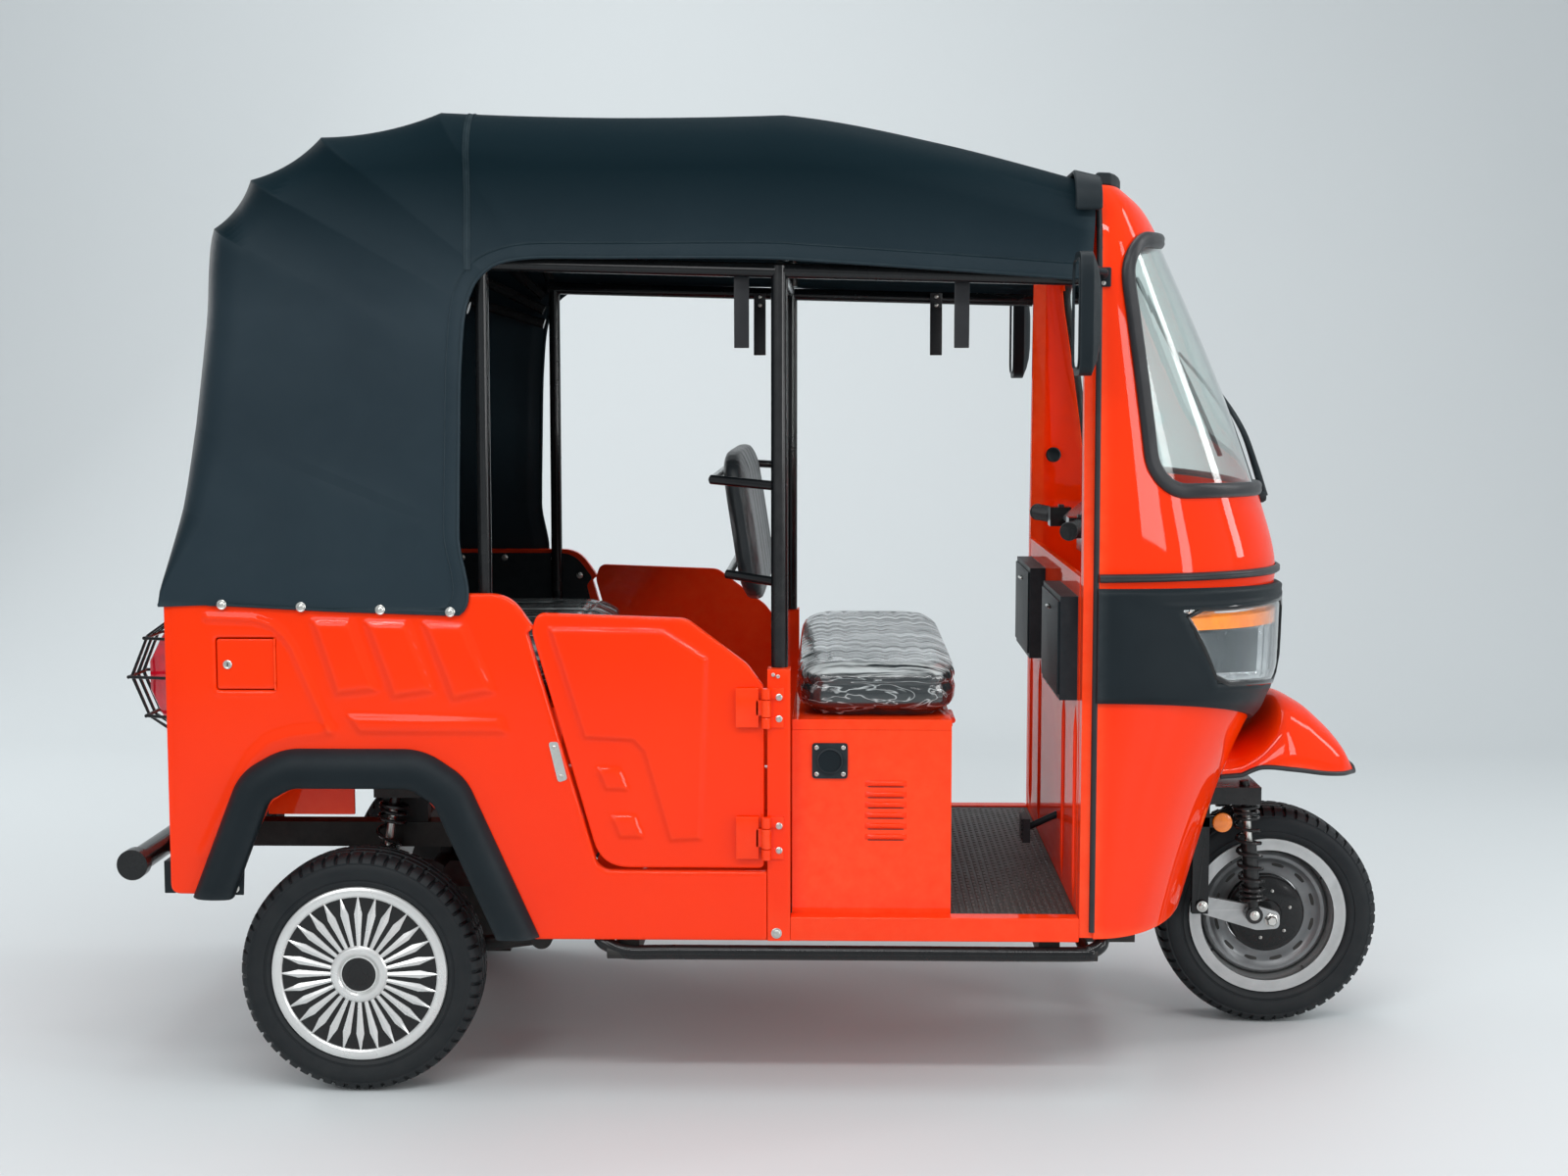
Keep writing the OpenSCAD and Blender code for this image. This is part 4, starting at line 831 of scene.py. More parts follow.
def sideRelief(points, flap):
    h = sum(pressed(points, r, -sideSettings["recess"], sideSettings["ramp"]) for r in recesses)
    h = h + ridge(points, ridgeLine, 4.0, 11.0)
    h = h + ridge(points, flareRidge, 2.6, 20.0)
    h = h + pressed(points, longRib, -5.0, 13.0)
    h = h - 1.2 * (1 - smooth(np.abs(points[:, 0] - (rearX + 544)) / 3.0)) * (points[:, 1] < 441)
    h = h - 3.0 * smooth((rearX - 325 - points[:, 0]) / 30.0) ** 2
    if flap:
        x0, z0, x1, z1 = flapBox
        frameLine = [(x0 - 6, z0 - 6), (x1 + 6, z0 - 6), (x1 + 6, z1 + 6), (x0 - 6, z1 + 6)]
        h = h + ridge(points, frameLine, 1.6, 6.0, closed=True)
    return h


def makeSide(name, sign, flap):
    maker = Maker()
    holes = []
    if flap:
        x0, z0, x1, z1 = flapBox
        gap = 2.6
        ring = roundedLine([Vector((x, 0, z)) for x, z in ((x0 - gap, z0 - gap), (x1 + gap, z0 - gap),
                           (x1 + gap, z1 + gap), (x0 - gap, z1 + gap))], 7, 4)
        holes = [sideOn(ring)]
    place = lambda x, z, h: (x, sign * (sideY - 0.2 + h), z)
    pressedSheet(maker, sideLine, holes, lambda p: sideRelief(p, flap), place, sideY - innerY - 1,
                 sideSettings["spacing"], sideSettings["edge"])
    if flap:        # the pocket behind the flap and its hinge pin
        maker.block((x0 - 2, sign * innerY - 0.2, z0 - 2), (x1 + 2, sign * (innerY + 5), z1 + 2), bevel=1)
        maker.tube([(x1 + 1.5, -(sideY + 0.4), z0 - 2), (x1 + 1.5, -(sideY + 0.4), z1 + 2)], 1.3, 12)
        for z in (z0 - 2, z1 - 10):
            maker.tube([(x1 + 1.5, -(sideY + 0.4), z), (x1 + 1.5, -(sideY + 0.4), z + 12)], 2.2, 16)
    side = "right" if sign < 0 else "left"
    return maker.piece(name, "vehicle", bodyPaint, "side_panel_" + side, "paint", sharp=50)


makeSide("sidePanelRight", -1, True)
makeSide("sidePanelLeft", 1, False)

flap = Maker()
x0, z0, x1, z1 = flapBox
ring = roundedLine([Vector((x, 0, z)) for x, z in ((x0, z0), (x1, z0), (x1, z1), (x0, z1))], 5, 4)
pressedSheet(flap, sideOn(ring), [], lambda p: 0 * p[:, 0],
             lambda x, z, h: (x, -(sideY - 0.4 + h), z), 7, 4.0, 1.6)
hingeX = rearX - 145
flap.tube([(hingeX, -(sideY + 0.4), z0 + 14), (hingeX, -(sideY + 0.4), z1 - 14)], 2.2, 16)
lockX, lockZ = x0 + 20, (z0 + z1) / 2 - 1
flap.lathe([(0, 0), (8.5, 0), (8.5, 2.2), (7.0, 3.2), (5.6, 2.6), (5.2, 1.2), (0, 1.2)],
           (lockX, -sideY + 0.6, lockZ), (0, -1, 0), 32, 1, closed=False)
flap.block((lockX - 1, -sideY - 1.6, lockZ - 3.4), (lockX + 1, -sideY + 0.5, lockZ + 3.4), 2, bevel=0.3)
flap.piece("chargeFlap", "charge_flap", [bodyPaint, zincSteel, blackPlastic], "charge_flap", "paint")
stage("side panels pressed")


# doors
doorSettings = {"spacing": 4.6, "recess": 6.0, "ramp": 9.5}
doorPress = fromRear([(376, 905), (590, 902), (672, 850), (660, 503), (602, 500), (553, 670), (533, 692),
                      (440, 697)])
doorMarks = [fromRear([(464, 638), (506, 636), (522, 597), (480, 598)]),
             fromRear([(490, 546), (534, 546), (550, 506), (506, 506)])]
hingeHeights = [(467, 548), (719, 794)]
hingePinX, hingePinY = rearX + 785, sideY + 9


def doorRelief(points):
    h = pressed(points, [(p[0], p[1]) for p in doorPress], -doorSettings["recess"], doorSettings["ramp"])
    for mark in doorMarks:
        h = h + pressed(points, mark, -5.0, 8.0)
    for z0, z1 in hingeHeights:
        plate = [(hingePinX - 62, z0 - 3), (hingePinX - 4, z0 - 3), (hingePinX - 4, z1 + 3),
                 (hingePinX - 62, z1 + 3)]
        h = h * (1 - smooth((10 - lineDistance(points, plate)) / 10)) * ~inside(points, plate)
    return h


for side, sign in (("right", -1), ("left", 1)):
    door = Maker()
    pressedSheet(door, doorLine, [], doorRelief, lambda x, z, h: (x, sign * (sideY - 6.0 + h), z),
                 sideY - 6 - innerY, doorSettings["spacing"], 4.0)
    rim = [Vector((x, sign * (sideY - 4.5), z)) for x, z in doorLine]
    for z0, z1 in hingeHeights:
        door.block((hingePinX - 58, sign * (sideY + 1) - 4, z0),
                   (hingePinX - 14, sign * (sideY + 1) + 2, z1), bevel=1.6)
        door.tube([(hingePinX, sign * hingePinY, z0 + 22), (hingePinX, sign * hingePinY, z1 - 22)], 9, 24)
        door.block((hingePinX - 20, sign * (sideY + 2) - 3, z0 + 23),
                   (hingePinX - 1, sign * (sideY + 2) + 2, z1 - 23), bevel=1)
    # latch plate by the rear edge
    latch = roundedLine([Vector((rearX + x, 0, z)) for x, z in ((372, 690), (390, 690), (408, 618),
                                                                (390, 612))], 6, 4)
    door.prism(sideOn(latch), sign * (sideY - 6), sign * (sideY + 1.5), 1, 1)
    for x, z in ((383, 680), (396, 624)):
        door.bolt((rearX + x, sign * (sideY + 1.5), z), (0, sign, 0), 2.6, 1)
    door.piece("doorPanel" + side.capitalize(), "door_" + side, [bodyPaint, zincSteel], "door_" + side,
               "paint", sharp=50)

posts = Maker()
for z0, z1 in hingeHeights:
    for z in (z0 + 17, z1 - 17):
        posts.bolt((hingePinX + 24, sideY + 3.4, z), (0, 1, 0), 4.4)
for x, z, y in ((807, 816, 0.2), (798, 819, 0.2)):
    posts.bolt((rearX + x, sideY + y, z), (0, 1, 0), 2.6)
posts.bolt((rearX + 804, sideY + 0.2, 323), (0, 1, 0), 7)
posts.mirrored()
posts.piece("hingeBolts", "vehicle", zincSteel, slot="steel_silver")
softCopy("hingePosts", "hinge_posts", "vehicle", bodyPaint, bevel=2.2)
stage("doors hung")


# front cowl
cowlSettings = {"thick": 12, "mask": 18, "gasket": 14.5, "glassCorner": 70}
noseTable = [(300, -201), (551, -121), (642, -83), (721, -45), (805, -18), (948, -13), (985, -9), (1130, -44),
             (1655, -274), (1700, -303), (1735, -350), (1768, -415)]
halfTable = [(300, 0), (1000, 0), (1300, 6), (1600, 16), (1700, 45), (1768, 110)]
roundTable = [(300, 2), (642, 2.1), (800, 2.15), (1000, 2.15), (1655, 2.15), (1768, 2.1)]
glassTable = [(1000, 112), (1165, 104), (1548, 50), (1632, 44)]
cowlRows = [(315, 315), (440, 440), (575, 560), (767, 642), (800, 735), (875, 840), (948, 937), (983, 955),
            (1008, 985), (1080, 1070), (1165, 1150), (1280, 1280), (1400, 1400), (1520, 1520), (1632, 1655),
            (1690, 1690), (1735, 1735)]
noseX = lambda z: frontX + curveAt(z, noseTable) - cabX
halfW = lambda z: sideY - curveAt(z, halfTable)
roundness = lambda z: tableAt(z, roundTable)


def glassTurn(z):
    reach = min(0.3, tableAt(z, glassTable) / (frontX + tableAt(z, noseTable) - cabX))
    return math.degrees(math.acos(reach ** (roundness(z) / 2)))


def archTurn(z):
    return math.degrees(math.asin((232 / sideY) ** (roundness(z) / 2)))


def cowlTurn(j, glass, arch):        # column j of 18, with fractions, as an angle
    if j > 9:
        return -cowlTurn(18 - j, glass, arch)
    if j <= 1:
        return -90 + (90 - glass) * j
    if j <= 6:
        return -glass + (glass - arch) * (j - 1) / 5
    return -arch + 2 * arch * (j - 6) / 6


def cowlPoint(turn, z, inset):
    a, b, r = noseX(z), halfW(z), roundness(z)
    c, s = abs(math.cos(math.radians(turn))), abs(math.sin(math.radians(turn)))
    c, s = max(c, 1e-9), max(s, 1e-9)
    x, y = a * c ** (2 / r), b * s ** (2 / r)
    nx, ny = c ** (2 - 2 / r) / a, s ** (2 - 2 / r) / b
    n = math.hypot(nx, ny)
    return Vector((cabX + max(0, x - inset * nx / n), math.copysign(1, turn) * (y - inset * ny / n), z))


def rowPair(i):        # row i of the cowl, with fractions
    k = min(int(i), len(cowlRows) - 2)
    t = i - k
    return [cowlRows[k][n] + (cowlRows[k + 1][n] - cowlRows[k][n]) * t for n in (0, 1)]


def cowlAt(i, j, inset=0.0):
    side, front = rowPair(i)
    turn = cowlTurn(j, glassTurn(side), archTurn(side))
    return cowlPoint(turn, front + (side - front) * abs(math.sin(math.radians(turn))), inset)


def cowlOut(i, j):        # outward direction of the cowl
    return (cowlAt(i, j, -4) - cowlAt(i, j, 0)).normalized()


def screenCover(i, j, grow=0.0):        # true within the rounded screen opening
    low, high, left, right = 10, 14, 1, 17
    if not (low < i < high and left < j < right):
        return False
    z = rowPair(i)[0]
    zLow, zHigh = cowlRows[10][0], cowlRows[14][0]
    r = cowlSettings["glassCorner"] - grow
    arcAt = lambda jj: (cowlAt(i, jj) - cowlAt(i, jj + 0.05)).length * 20
    edgeJ = min(j - left, right - j)
    across = 0.0
    k = 0.0
    while k < edgeJ and across < r:
        step = min(0.25, edgeJ - k)
        across += arcAt(left + k) * step
        k += step
    up = min(z - zLow, zHigh - z)
    if across >= r or up >= r:
        return True
    return math.hypot(r - across, r - up) <= r


def gridLines(stops):
    made = []
    for a, b, count in stops:
        made += [a + (b - a) * k / count for k in range(count)]
    return made + [stops[-1][1]]


rowLines = gridLines([(0, 2, 18), (2, 3, 8), (3, 7, 12), (7, 10, 14), (10, 11, 9), (11, 13, 14), (13, 14, 9),
                      (14, 16, 9)])
colLines = gridLines([(0, 1, 6), (1, 2, 14), (2, 6, 28), (6, 12, 30), (12, 16, 28), (16, 17, 14),
                      (17, 18, 6)])
cowl = Maker()
outer = [[cowlAt(i, j) for j in colLines] for i in rowLines]
inner = [[cowlAt(i, j, cowlSettings["thick"]) for j in colLines] for i in rowLines]
glassCells = {}
for i in range(len(rowLines) - 1):
    for j in range(len(colLines) - 1):
        glassCells[i, j] = screenCover((rowLines[i] + rowLines[i + 1]) / 2,
                                       (colLines[j] + colLines[j + 1]) / 2)


def cowlKeep(i, j):
    inArch = rowLines[i] < 2 - 1e-6 and 6 - 1e-6 <= colLines[j] < 12 - 1e-6
    return not inArch and not glassCells[i, j]


loftGrid(cowl, outer, inner, cowlKeep)
# header over the screen and the two door posts
header = [(s * (tableAt(z, [(1600, sideY - 16), (1700, sideY - 45), (1768, sideY - 110)]) - 5), z)
          for s, zs in ((-1, (1700, 1716)), (1, (1716, 1700))) for z in zs]
cowl.prism(header, cabX - 26, cabX + 3, 0)
postShape = []
for z, y0, y1 in ((sillZ + 8, sideY - 46, sideY - 5), (1000, sideY - 46, sideY - 5),
                  (1712, sideY - 66, sideY - 60)):
    postShape.append([(cabX - 26, y0, z), (cabX + 3, y0, z), (cabX + 3, y1, z), (cabX - 26, y1, z)])
for s in (1, -1):
    verts = [(x, s * y, z) for ring in postShape for x, y, z in ring]
    faces = skinFaces(3, 4)
    cowl.add(verts, faces + [(3, 2, 1, 0), (8, 9, 10, 11)])
cowl.piece("cowlShell", "vehicle", bodyPaint, "cab_shell", "paint", sharp=28)


def screenLoop(offset, steps=10):        # the rounded outline of the screen, on the cowl
    r = cowlSettings["glassCorner"]
    z0, z1 = cowlRows[10][0], cowlRows[14][0]
    perJ = lambda i: (cowlAt(i, 1.0) - cowlAt(i, 1.4)).length / 0.4
    rowOf = lambda z: float(np.interp(z, [cowlRows[k][0] for k in range(10, 15)], range(10, 15)))

    def corner(low):
        pts = []
        for k in range(steps + 1):
            a = math.pi / 2 * k / steps
            across, up = r - r * math.cos(a), r - r * math.sin(a)
            z = z0 + up if low else z1 - up
            i = rowOf(z)
            pts.append((i, 1 + across / perJ(i)))
        return pts
    lowCorner, highCorner = corner(True), corner(False)
    right = [(rowOf(z), 1.0) for z in np.linspace(z0 + r, z1 - r, 22)[1:-1]]
    bottom = [(10.0, j) for j in np.linspace(lowCorner[-1][1], 18 - lowCorner[-1][1], 60)[1:-1]]
    top = [(14.0, j) for j in np.linspace(highCorner[-1][1], 18 - highCorner[-1][1], 60)[1:-1]]
    flip = lambda pts: [(i, 18 - j) for i, j in pts]
    ring = (list(reversed(lowCorner)) + right + highCorner + top + list(reversed(flip(highCorner)))
            + list(reversed(flip(right))) + flip(lowCorner) + list(reversed(bottom)))
    return [cowlAt(i, j, offset) for i, j in ring], [cowlOut(i, j) for i, j in ring]


gasketLine, gasketOut = screenLoop(-2)
gasket = Maker()
path, n = gasketLine, len(gasketLine)
sides = 16
ringVerts, ringFaces = [], []
for i in range(n):
    along = (path[(i + 1) % n] - path[i - 1]).normalized()
    out = gasketOut[i]
    across = along.cross(out).normalized()
    for k in range(sides):
        a = 2 * math.pi * k / sides
        lift = 9 * math.sin(a)
        wide = cowlSettings["gasket"] * math.cos(a)
        if lift > 0 and abs(wide) < 5:
            lift -= 1.6        # the locking strip's groove
        ringVerts.append(path[i] + across * wide + out * (lift + 1))
for i in range(n):
    j = (i + 1) % n
    ringFaces += [(i * sides + k, i * sides + (k + 1) % sides, j * sides + (k + 1) % sides, j * sides + k)
                  for k in range(sides)]
gasket.add(ringVerts, ringFaces)
gasket.piece("screenGasket", "vehicle", rubberTrim, slot="black_plastic", sharp=60)

glass = Maker()
glassIn = [[cowlAt(i, j, 8) for j in colLines] for i in rowLines]
glassOut = [[cowlAt(i, j, 3) for j in colLines] for i in rowLines]
loftGrid(glass, glassOut, glassIn, lambda i, j: glassCells[i, j])
glass.piece("screenGlass", "vehicle", screenGlass, "windscreen", "screen_glass", sharp=40)
stage("cowl and windscreen")

# belt strip under the screen, and the black edge along each door post: a rubber seal in part; along the rest
# of the post it is painted shade for the return edge in shadow
belt = Maker()
beltRow = 7.76
beltCols = [0.02 + k * 17.96 / 110 for k in range(111)]
beltPath = [cowlAt(beltRow + 0.25 * math.sin(math.pi * j / 18), j, -2.5) for j in beltCols]
beltSection = []
for i, p in enumerate(beltPath):
    out = cowlOut(beltRow, beltCols[i])
    along = (beltPath[min(i + 1, 110)] - beltPath[max(i - 1, 0)]).normalized()
    up = out.cross(along).normalized()
    for across, lift in ((-8, -1), (-7.4, 4), (-5, 7), (-2, 7.8), (0, 6.8), (2, 7.8), (5, 7), (7.4, 4),
                         (8, -1)):
        beltSection.append(p + up * across + out * lift)
belt.add(beltSection, [(i * 9 + k, i * 9 + k + 1, i * 9 + k + 10, i * 9 + k + 9) for i in range(110)
                       for k in range(8)] + [tuple(range(9)), tuple(110 * 9 + k
                                                                    for k in reversed(range(9)))])
# painted shade: a dark tube along the whole post edge, a seal only in part, the rest standing for the shaded
# return edge
for s in (0, 18):
    edgePath = [cowlAt(i, s, 3) for i in np.linspace(0.1, 15.7, 60)]
    belt.tube([(cabX - 1.5, p.y * 0.997, p.z) for p in edgePath], 6.5, 10)
belt.piece("beltStrip", "vehicle", rubberTrim, slot="black_plastic", sharp=50)


# front mask and lamps
maskLine = gridLines([(3, 4, 14), (4, 6, 26), (6, 7, 14)])
maskCols = gridLines([(0, 2, 14), (2, 7, 62), (7, 11, 22), (11, 16, 62), (16, 18, 14)])
lampShape = {"low": 4.05, "high": 5.92, "inner": 2.35, "outerLow": 6.35, "outerHigh": 7.4}


def lampDepth(i, j):        # how far inside a lamp opening a spot is, about 1 in the middle
    v = (i - lampShape["low"]) / (lampShape["high"] - lampShape["low"])
    outerJ = lampShape["outerLow"] + (lampShape["outerHigh"] - lampShape["outerLow"]) * v
    across = abs(j - 9)
    return min(v * 2.2, (1 - v) * 2.2, outerJ - across, across - lampShape["inner"])


def maskHeight(i, j):        # how proud of the cowl the mask stands
    rim = min((i - 3) / 0.42, (7 - i) / 0.30, 1)
    h = cowlSettings["mask"] * (0.55 + 0.45 * math.sin(math.pi / 2 * max(rim, 0)))
    fold = (abs(j - 9) - 7.0) - (i - 4) * 0.55        # a soft crease from belt to lamp
    h -= 2.2 * (1 / (1 + math.exp(-fold * 7)))
    d = lampDepth(i, j)
    frameBand = math.exp(-((d + 0.18) / 0.13) ** 2)
    return h + 1.8 * frameBand - (3.0 if d > 0.0 else 0.0)


mask = Maker()
outer = [[cowlAt(i, j, -maskHeight(i, j)) for j in maskCols] for i in maskLine]
inner = [[cowlAt(i, j, -0.4) for j in maskCols] for i in maskLine]
lampCells = lambda i, j: lampDepth((maskLine[i] + maskLine[i + 1]) / 2,
                                   (maskCols[j] + maskCols[j + 1]) / 2) > 0
loftGrid(mask, outer, inner, lambda i, j: not lampCells(i, j))
mask.piece("frontMask", "vehicle", blackPlastic, "front_mask", "black_plastic", sharp=26)

lens, bowl = Maker(), Maker()
lensOut = [[cowlAt(i, j, -16.5 + 1.5 * max(0, 1 - lampDepth(i, j) * 6)) for j in maskCols] for i in maskLine]
lensIn = [[cowlAt(i, j, -13.5 + 1.5 * max(0, 1 - lampDepth(i, j) * 6)) for j in maskCols] for i in maskLine]
loftGrid(lens, lensOut, lensIn, lampCells)


def lampFloor(i, j):        # what lies under the lens: reflector bowl, amber bar and bright bars
    v = (i - lampShape["low"]) / (lampShape["high"] - lampShape["low"])
    across = abs(j - 9)
    deep = 2.0
    if 0.70 < v < 0.90 and across > 2.9:
        return 9.5, 1
    for centre in (3.3, 3.8, 4.3):
        if abs(across - centre) < 0.11 and 0.10 < v < 0.70:
            return 8.0, 2
    if v < 0.12 or across < 2.65 or v > 0.93:
        return 6.5, 2
    return deep + 3.0 * math.exp(-((across - 5.6) / 0.7) ** 2), 0


floors = [[cowlAt(i, j, -lampFloor(i, j)[0]) for j in maskCols] for i in maskLine]
under = [[cowlAt(i, j, -0.6) for j in maskCols] for i in maskLine]
for kind in (0, 1, 2):
    loftGrid(bowl, floors, under, lambda i, j: lampCells(i, j) and lampFloor(
        (maskLine[i] + maskLine[i + 1]) / 2, (maskCols[j] + maskCols[j + 1]) / 2)[1] == kind, slot=kind)
bezels = Maker()
for side in (-1, 1):
    corner = [(4.05, lampShape["inner"]), (4.05, lampShape["outerLow"]), (5.92, lampShape["outerHigh"]),
              (5.92, lampShape["inner"])]
    ring = []
    for k in range(4):
        (i0, a0), (i1, a1) = corner[k], corner[(k + 1) % 4]
        for t in (0.1, 0.3, 0.5, 0.7, 0.9):
            i, across = i0 + (i1 - i0) * t, a0 + (a1 - a0) * t
            ring.append(cowlAt(i, 9 + side * across, -15.0))
    bezels.tube(ring, 6.0, 10, 0, closed=True)
bezels.piece("headlampBezels", "vehicle", glossBlack, slot="black_plastic")
lens.piece("headlampLenses", "vehicle", lensClear, "headlights", "lens_clear", sharp=40)
bowl.piece("headlampBowls", "vehicle", [lampGrey, amberLens, lampChrome], slot="lens_clear", sharp=30)
stage("mask and lamps")


# front fender
fenderSettings = {"thick": 5, "ribs": 46}
topTable = [(-100, 615), (-52, 646), (8, 712), (60, 690), (100, 657), (150, 605), (176, 560)]
lowTable = [(-100, 562), (-44, 580), (20, 572), (100, 556), (176, 545)]
wideTable = [(-100, 214), (0, 190), (80, 150), (140, 105), (176, 48)]


def cowlFront(y, z):
    return cabX + noseX(z) * (1 - (min(abs(y), halfW(z)) / halfW(z)) ** roundness(z)) ** (1 / roundness(z))


def fenderRib(x, t, count=48):
    w, top = curveAt(x, wideTable) - t, curveAt(x, topTable) - t
    low = min(curveAt(x, lowTable), top - 2)
    made = []
    for k in range(count + 1):
        a = math.radians(-90 + 180 * k / count)
        s, c = math.sin(a), max(math.cos(a), 0)
        crown = 5.0 * math.exp(-(s / 0.30) ** 2) * smooth(np.float64((x
                                                                      + 90) / 60)) * smooth(np.float64((170
            - x) / 60))
        y = w * math.copysign(abs(s) ** 0.6, s)
        z = low + (top - low) * c ** 0.75 + crown - 5
        made.append(Vector((frontX + x, y, max(z, low))))
    return made


fender = Maker()
xs = [-100 + 276 * (k / fenderSettings["ribs"]) ** 0.9 for k in range(fenderSettings["ribs"] + 1)]
outerRibs, innerRibs = [fenderRib(x, 0) for x in xs], [fenderRib(x, fenderSettings["thick"]) for x in xs]
for ribs in (outerRibs, innerRibs):
    for p in ribs[0]:
        p.x = cowlFront(p.y, p.z) + 2
    for k in (1, 2, 3, 4):        # the first ribs follow the cowl before they turn square
        for p in ribs[k]:
            p.x = max(p.x, cowlFront(p.y, p.z) + 2 + k * 1.5)
for p in innerRibs[-1]:
    p.x -= 4
loftGrid(fender, outerRibs, innerRibs, lambda i, j: True)
fender.piece("frontFender", "vehicle", bodyPaint, "front_fender", "paint", sharp=32)
trim = Maker()
trimPath = [r[0] for r in outerRibs] + outerRibs[-1][1:-1:4] + [r[-1] for r in reversed(outerRibs)]
trim.tube([p + Vector((0, 0, 1)) for p in trimPath], 5.0, 10)
trim.piece("fenderTrim", "vehicle", rubberTrim, slot="black_plastic", sharp=60)
stage("fender")


# canopy
canopySettings = {"halfWidth": sideY + 7, "sag": 11.0, "hem": 26.0}
frontEdge = frontX - 445
crest = [(frontEdge, roofZ - 134), (frontEdge - 282, roofZ - 60), (rearX + 816, roofZ - 6),
         (rearX + 490, roofZ - 4), (rearX + 172, roofZ), (rearX - 55, roofZ - 45),
         (rearX - 190, roofZ - 124), (rearX - 262, roofZ - 215), (rearX - 280, 1480), (rearX - 304, 1290),
         (rearX - 326, 1130), (rearX - 361, 975), (rearX - 366, 945)]
eave = 1595
hemLine = [(frontEdge - 10, eave - 40), (frontEdge - 282, eave - 20), (rearX + 816, eave),
           (rearX + 490, eave + 2), (rearX + 330, eave), (rearX + 262, eave - 25), (rearX + 228, eave - 85),
           (rearX + 215, eave - 200), (rearX + 210, 1230), (rearX + 207, 1080), (rearX + 205, 932),
           (rearX - 40, 940), (rearX - 240, 950)]


def alongLine(points, u, straight):
    k = min(int(u), len(points) - 2)
    t = u - k
    if straight(k):
        return Vector(points[k]).lerp(Vector(points[k + 1]), t)
    p0, p1, p2 = Vector(points[max(k - 1, 0)]), Vector(points[k]), Vector(points[k + 1])
    p3 = Vector(points[min(k + 2, len(points) - 1)])
    return 0.5 * ((2 * p1) + (p2 - p0) * t + (2 * p0 - 5 * p1 + 4 * p2 - p3) * t * t
                  + (3 * p1 - p0 - 3 * p2 + p3) * t ** 3)


crestAt = lambda u: alongLine(crest, u, lambda k: 2 <= k <= 6 or k >= 11)
hemAt = lambda u: alongLine(hemLine, u, lambda k: k >= 10 or k < 2)
cornerTable = [(945, 7), (975, 7), (1130, 62), (1290, 90), (1600, 95)]


def sagAt(u):        # cloth dips between the bows, and folds over them
    if u < 2 or u > 7.0:
        return 0.0
    if u < 4:
        t = (u - 2) / 2
        return 0.55 * 4 * t * (1 - t)
    t = u - int(u)
    return 4 * t * (1 - t) * (1.0 if u < 6 else 0.9)


def canopyRib(u):
    high, low = crestAt(u), hemAt(u)
    d = Vector((high.x - low.x, high.y - low.y))
    reach = d.length
    d = d / reach
    turn = min(tableAt(high.y, cornerTable), reach * 0.8)
    width = canopySettings["halfWidth"]
    sideLen = reach - turn
    sag = sagAt(u) * canopySettings["sag"]
    sagAcross = crestAt(min(u + 0.05, 12)) - crestAt(max(u - 0.05, 0))
    nx, nz = (sagAcross.y, -sagAcross.x) if sagAcross.length else (0, -1)
    n = math.hypot(nx, nz) or 1.0
    nx, nz = nx / n, nz / n
    if nz > 0 and nx >= 0:
        nx, nz = -nx, -nz
    centre = Vector((rearX + 250, 1250))
    if (Vector((nx, nz)).dot(centre - high)) < 0:
        nx, nz = -nx, -nz
    marks = [0.0, 4.0, canopySettings["hem"], canopySettings["hem"] + 3]
    marks = [m for m in marks if m < sideLen * 0.5]
    first = marks[-1] if marks else 0
    sideCount, arcCount = 34, 12
    spots = marks[:-1] + [first + (sideLen - first) * k / sideCount for k in range(sideCount)]
    while len(spots) < sideCount + 3:
        spots.insert(0, 0.0)
    made = []
    for s in spots:
        fade = math.exp(-max(0.0, sideLen - s) / 150.0)
        hollow = sagAt(u) * 9.0 * fade + 2.5 * math.sin(math.pi * s / max(sideLen, 1)) * (u < 9)
        proud = 1.6 if s < canopySettings["hem"] + 1 else 0.0
        wave = 1.6 * noise.noise(Vector((u * 1.7, s * 0.006, 3.0))) * min(1, s / 60) * min(1,
            (sideLen - s) / 60 + 0.2)
        p = low + d * s
        made.append(Vector((p.x + nx * sag * fade * 0.8, -(width - 2.0 - hollow + proud - abs(wave)),
                            p.y + nz * sag * fade * 0.8)))
    for k in range(arcCount + 1):
        a = math.pi / 2 * k / arcCount
        p = low + d * (sideLen + turn * math.sin(a))
        hollow = sagAt(u) * 9.0 * math.cos(a)
        made.append(Vector((p.x + nx * sag * (0.8 + 0.2 * math.sin(a)),
                            -(width - 2.0 - turn * (1 - math.cos(a)) - hollow),
                            p.y + nz * sag * (0.8 + 0.2 * math.sin(a)))))
    topCount = 22
    for k in range(1, topCount):
        y = -(width - turn) + 2 * (width - turn) * k / topCount
        soft = 1.2 * noise.noise(Vector((u * 1.3, y * 0.008, 7.0)))
        made.append(Vector((high.x + nx * (sag + abs(soft)), y, high.y + nz * (sag + abs(soft)))))
    half = len(made) - (topCount - 1)
    made += [Vector((p.x, -p.y, p.z)) for p in reversed(made[:half])]
    return made


stops = []
for k in range(12):
    count = {0: 10, 1: 10, 2: 14, 3: 14, 4: 16, 5: 16, 6: 16}.get(k, 8)
    if k == 11:
        count = 2
    for s in range(count):
        t = s / count
        if k in (4, 5, 6):        # closer together at the folds
            t = 0.6 * (0.5 - 0.5 * math.cos(math.pi * t)) + 0.4 * t
        stops.append(k + t)
stops.append(12.0)
ribs = [canopyRib(u) for u in stops]
for rib in ribs:        # the cloth hangs inside the CAD surface
    for p in rib:
        p.z = min(p.z, roofZ - 0.5)
canopy = Maker()
rowsN, colsN = len(ribs), len(ribs[0])
canopy.add([p for r in ribs for p in r],
           [(i * colsN + j, i * colsN + j + 1, (i + 1) * colsN + j + 1, (i + 1) * colsN + j)
            for i in range(rowsN - 1) for j in range(colsN - 1)])
canopySheet = canopy.piece("canopySheet", "vehicle", canopyVinyl, "canopy", "canopy_cloth", sharp=75,
                           weld=0.0001)
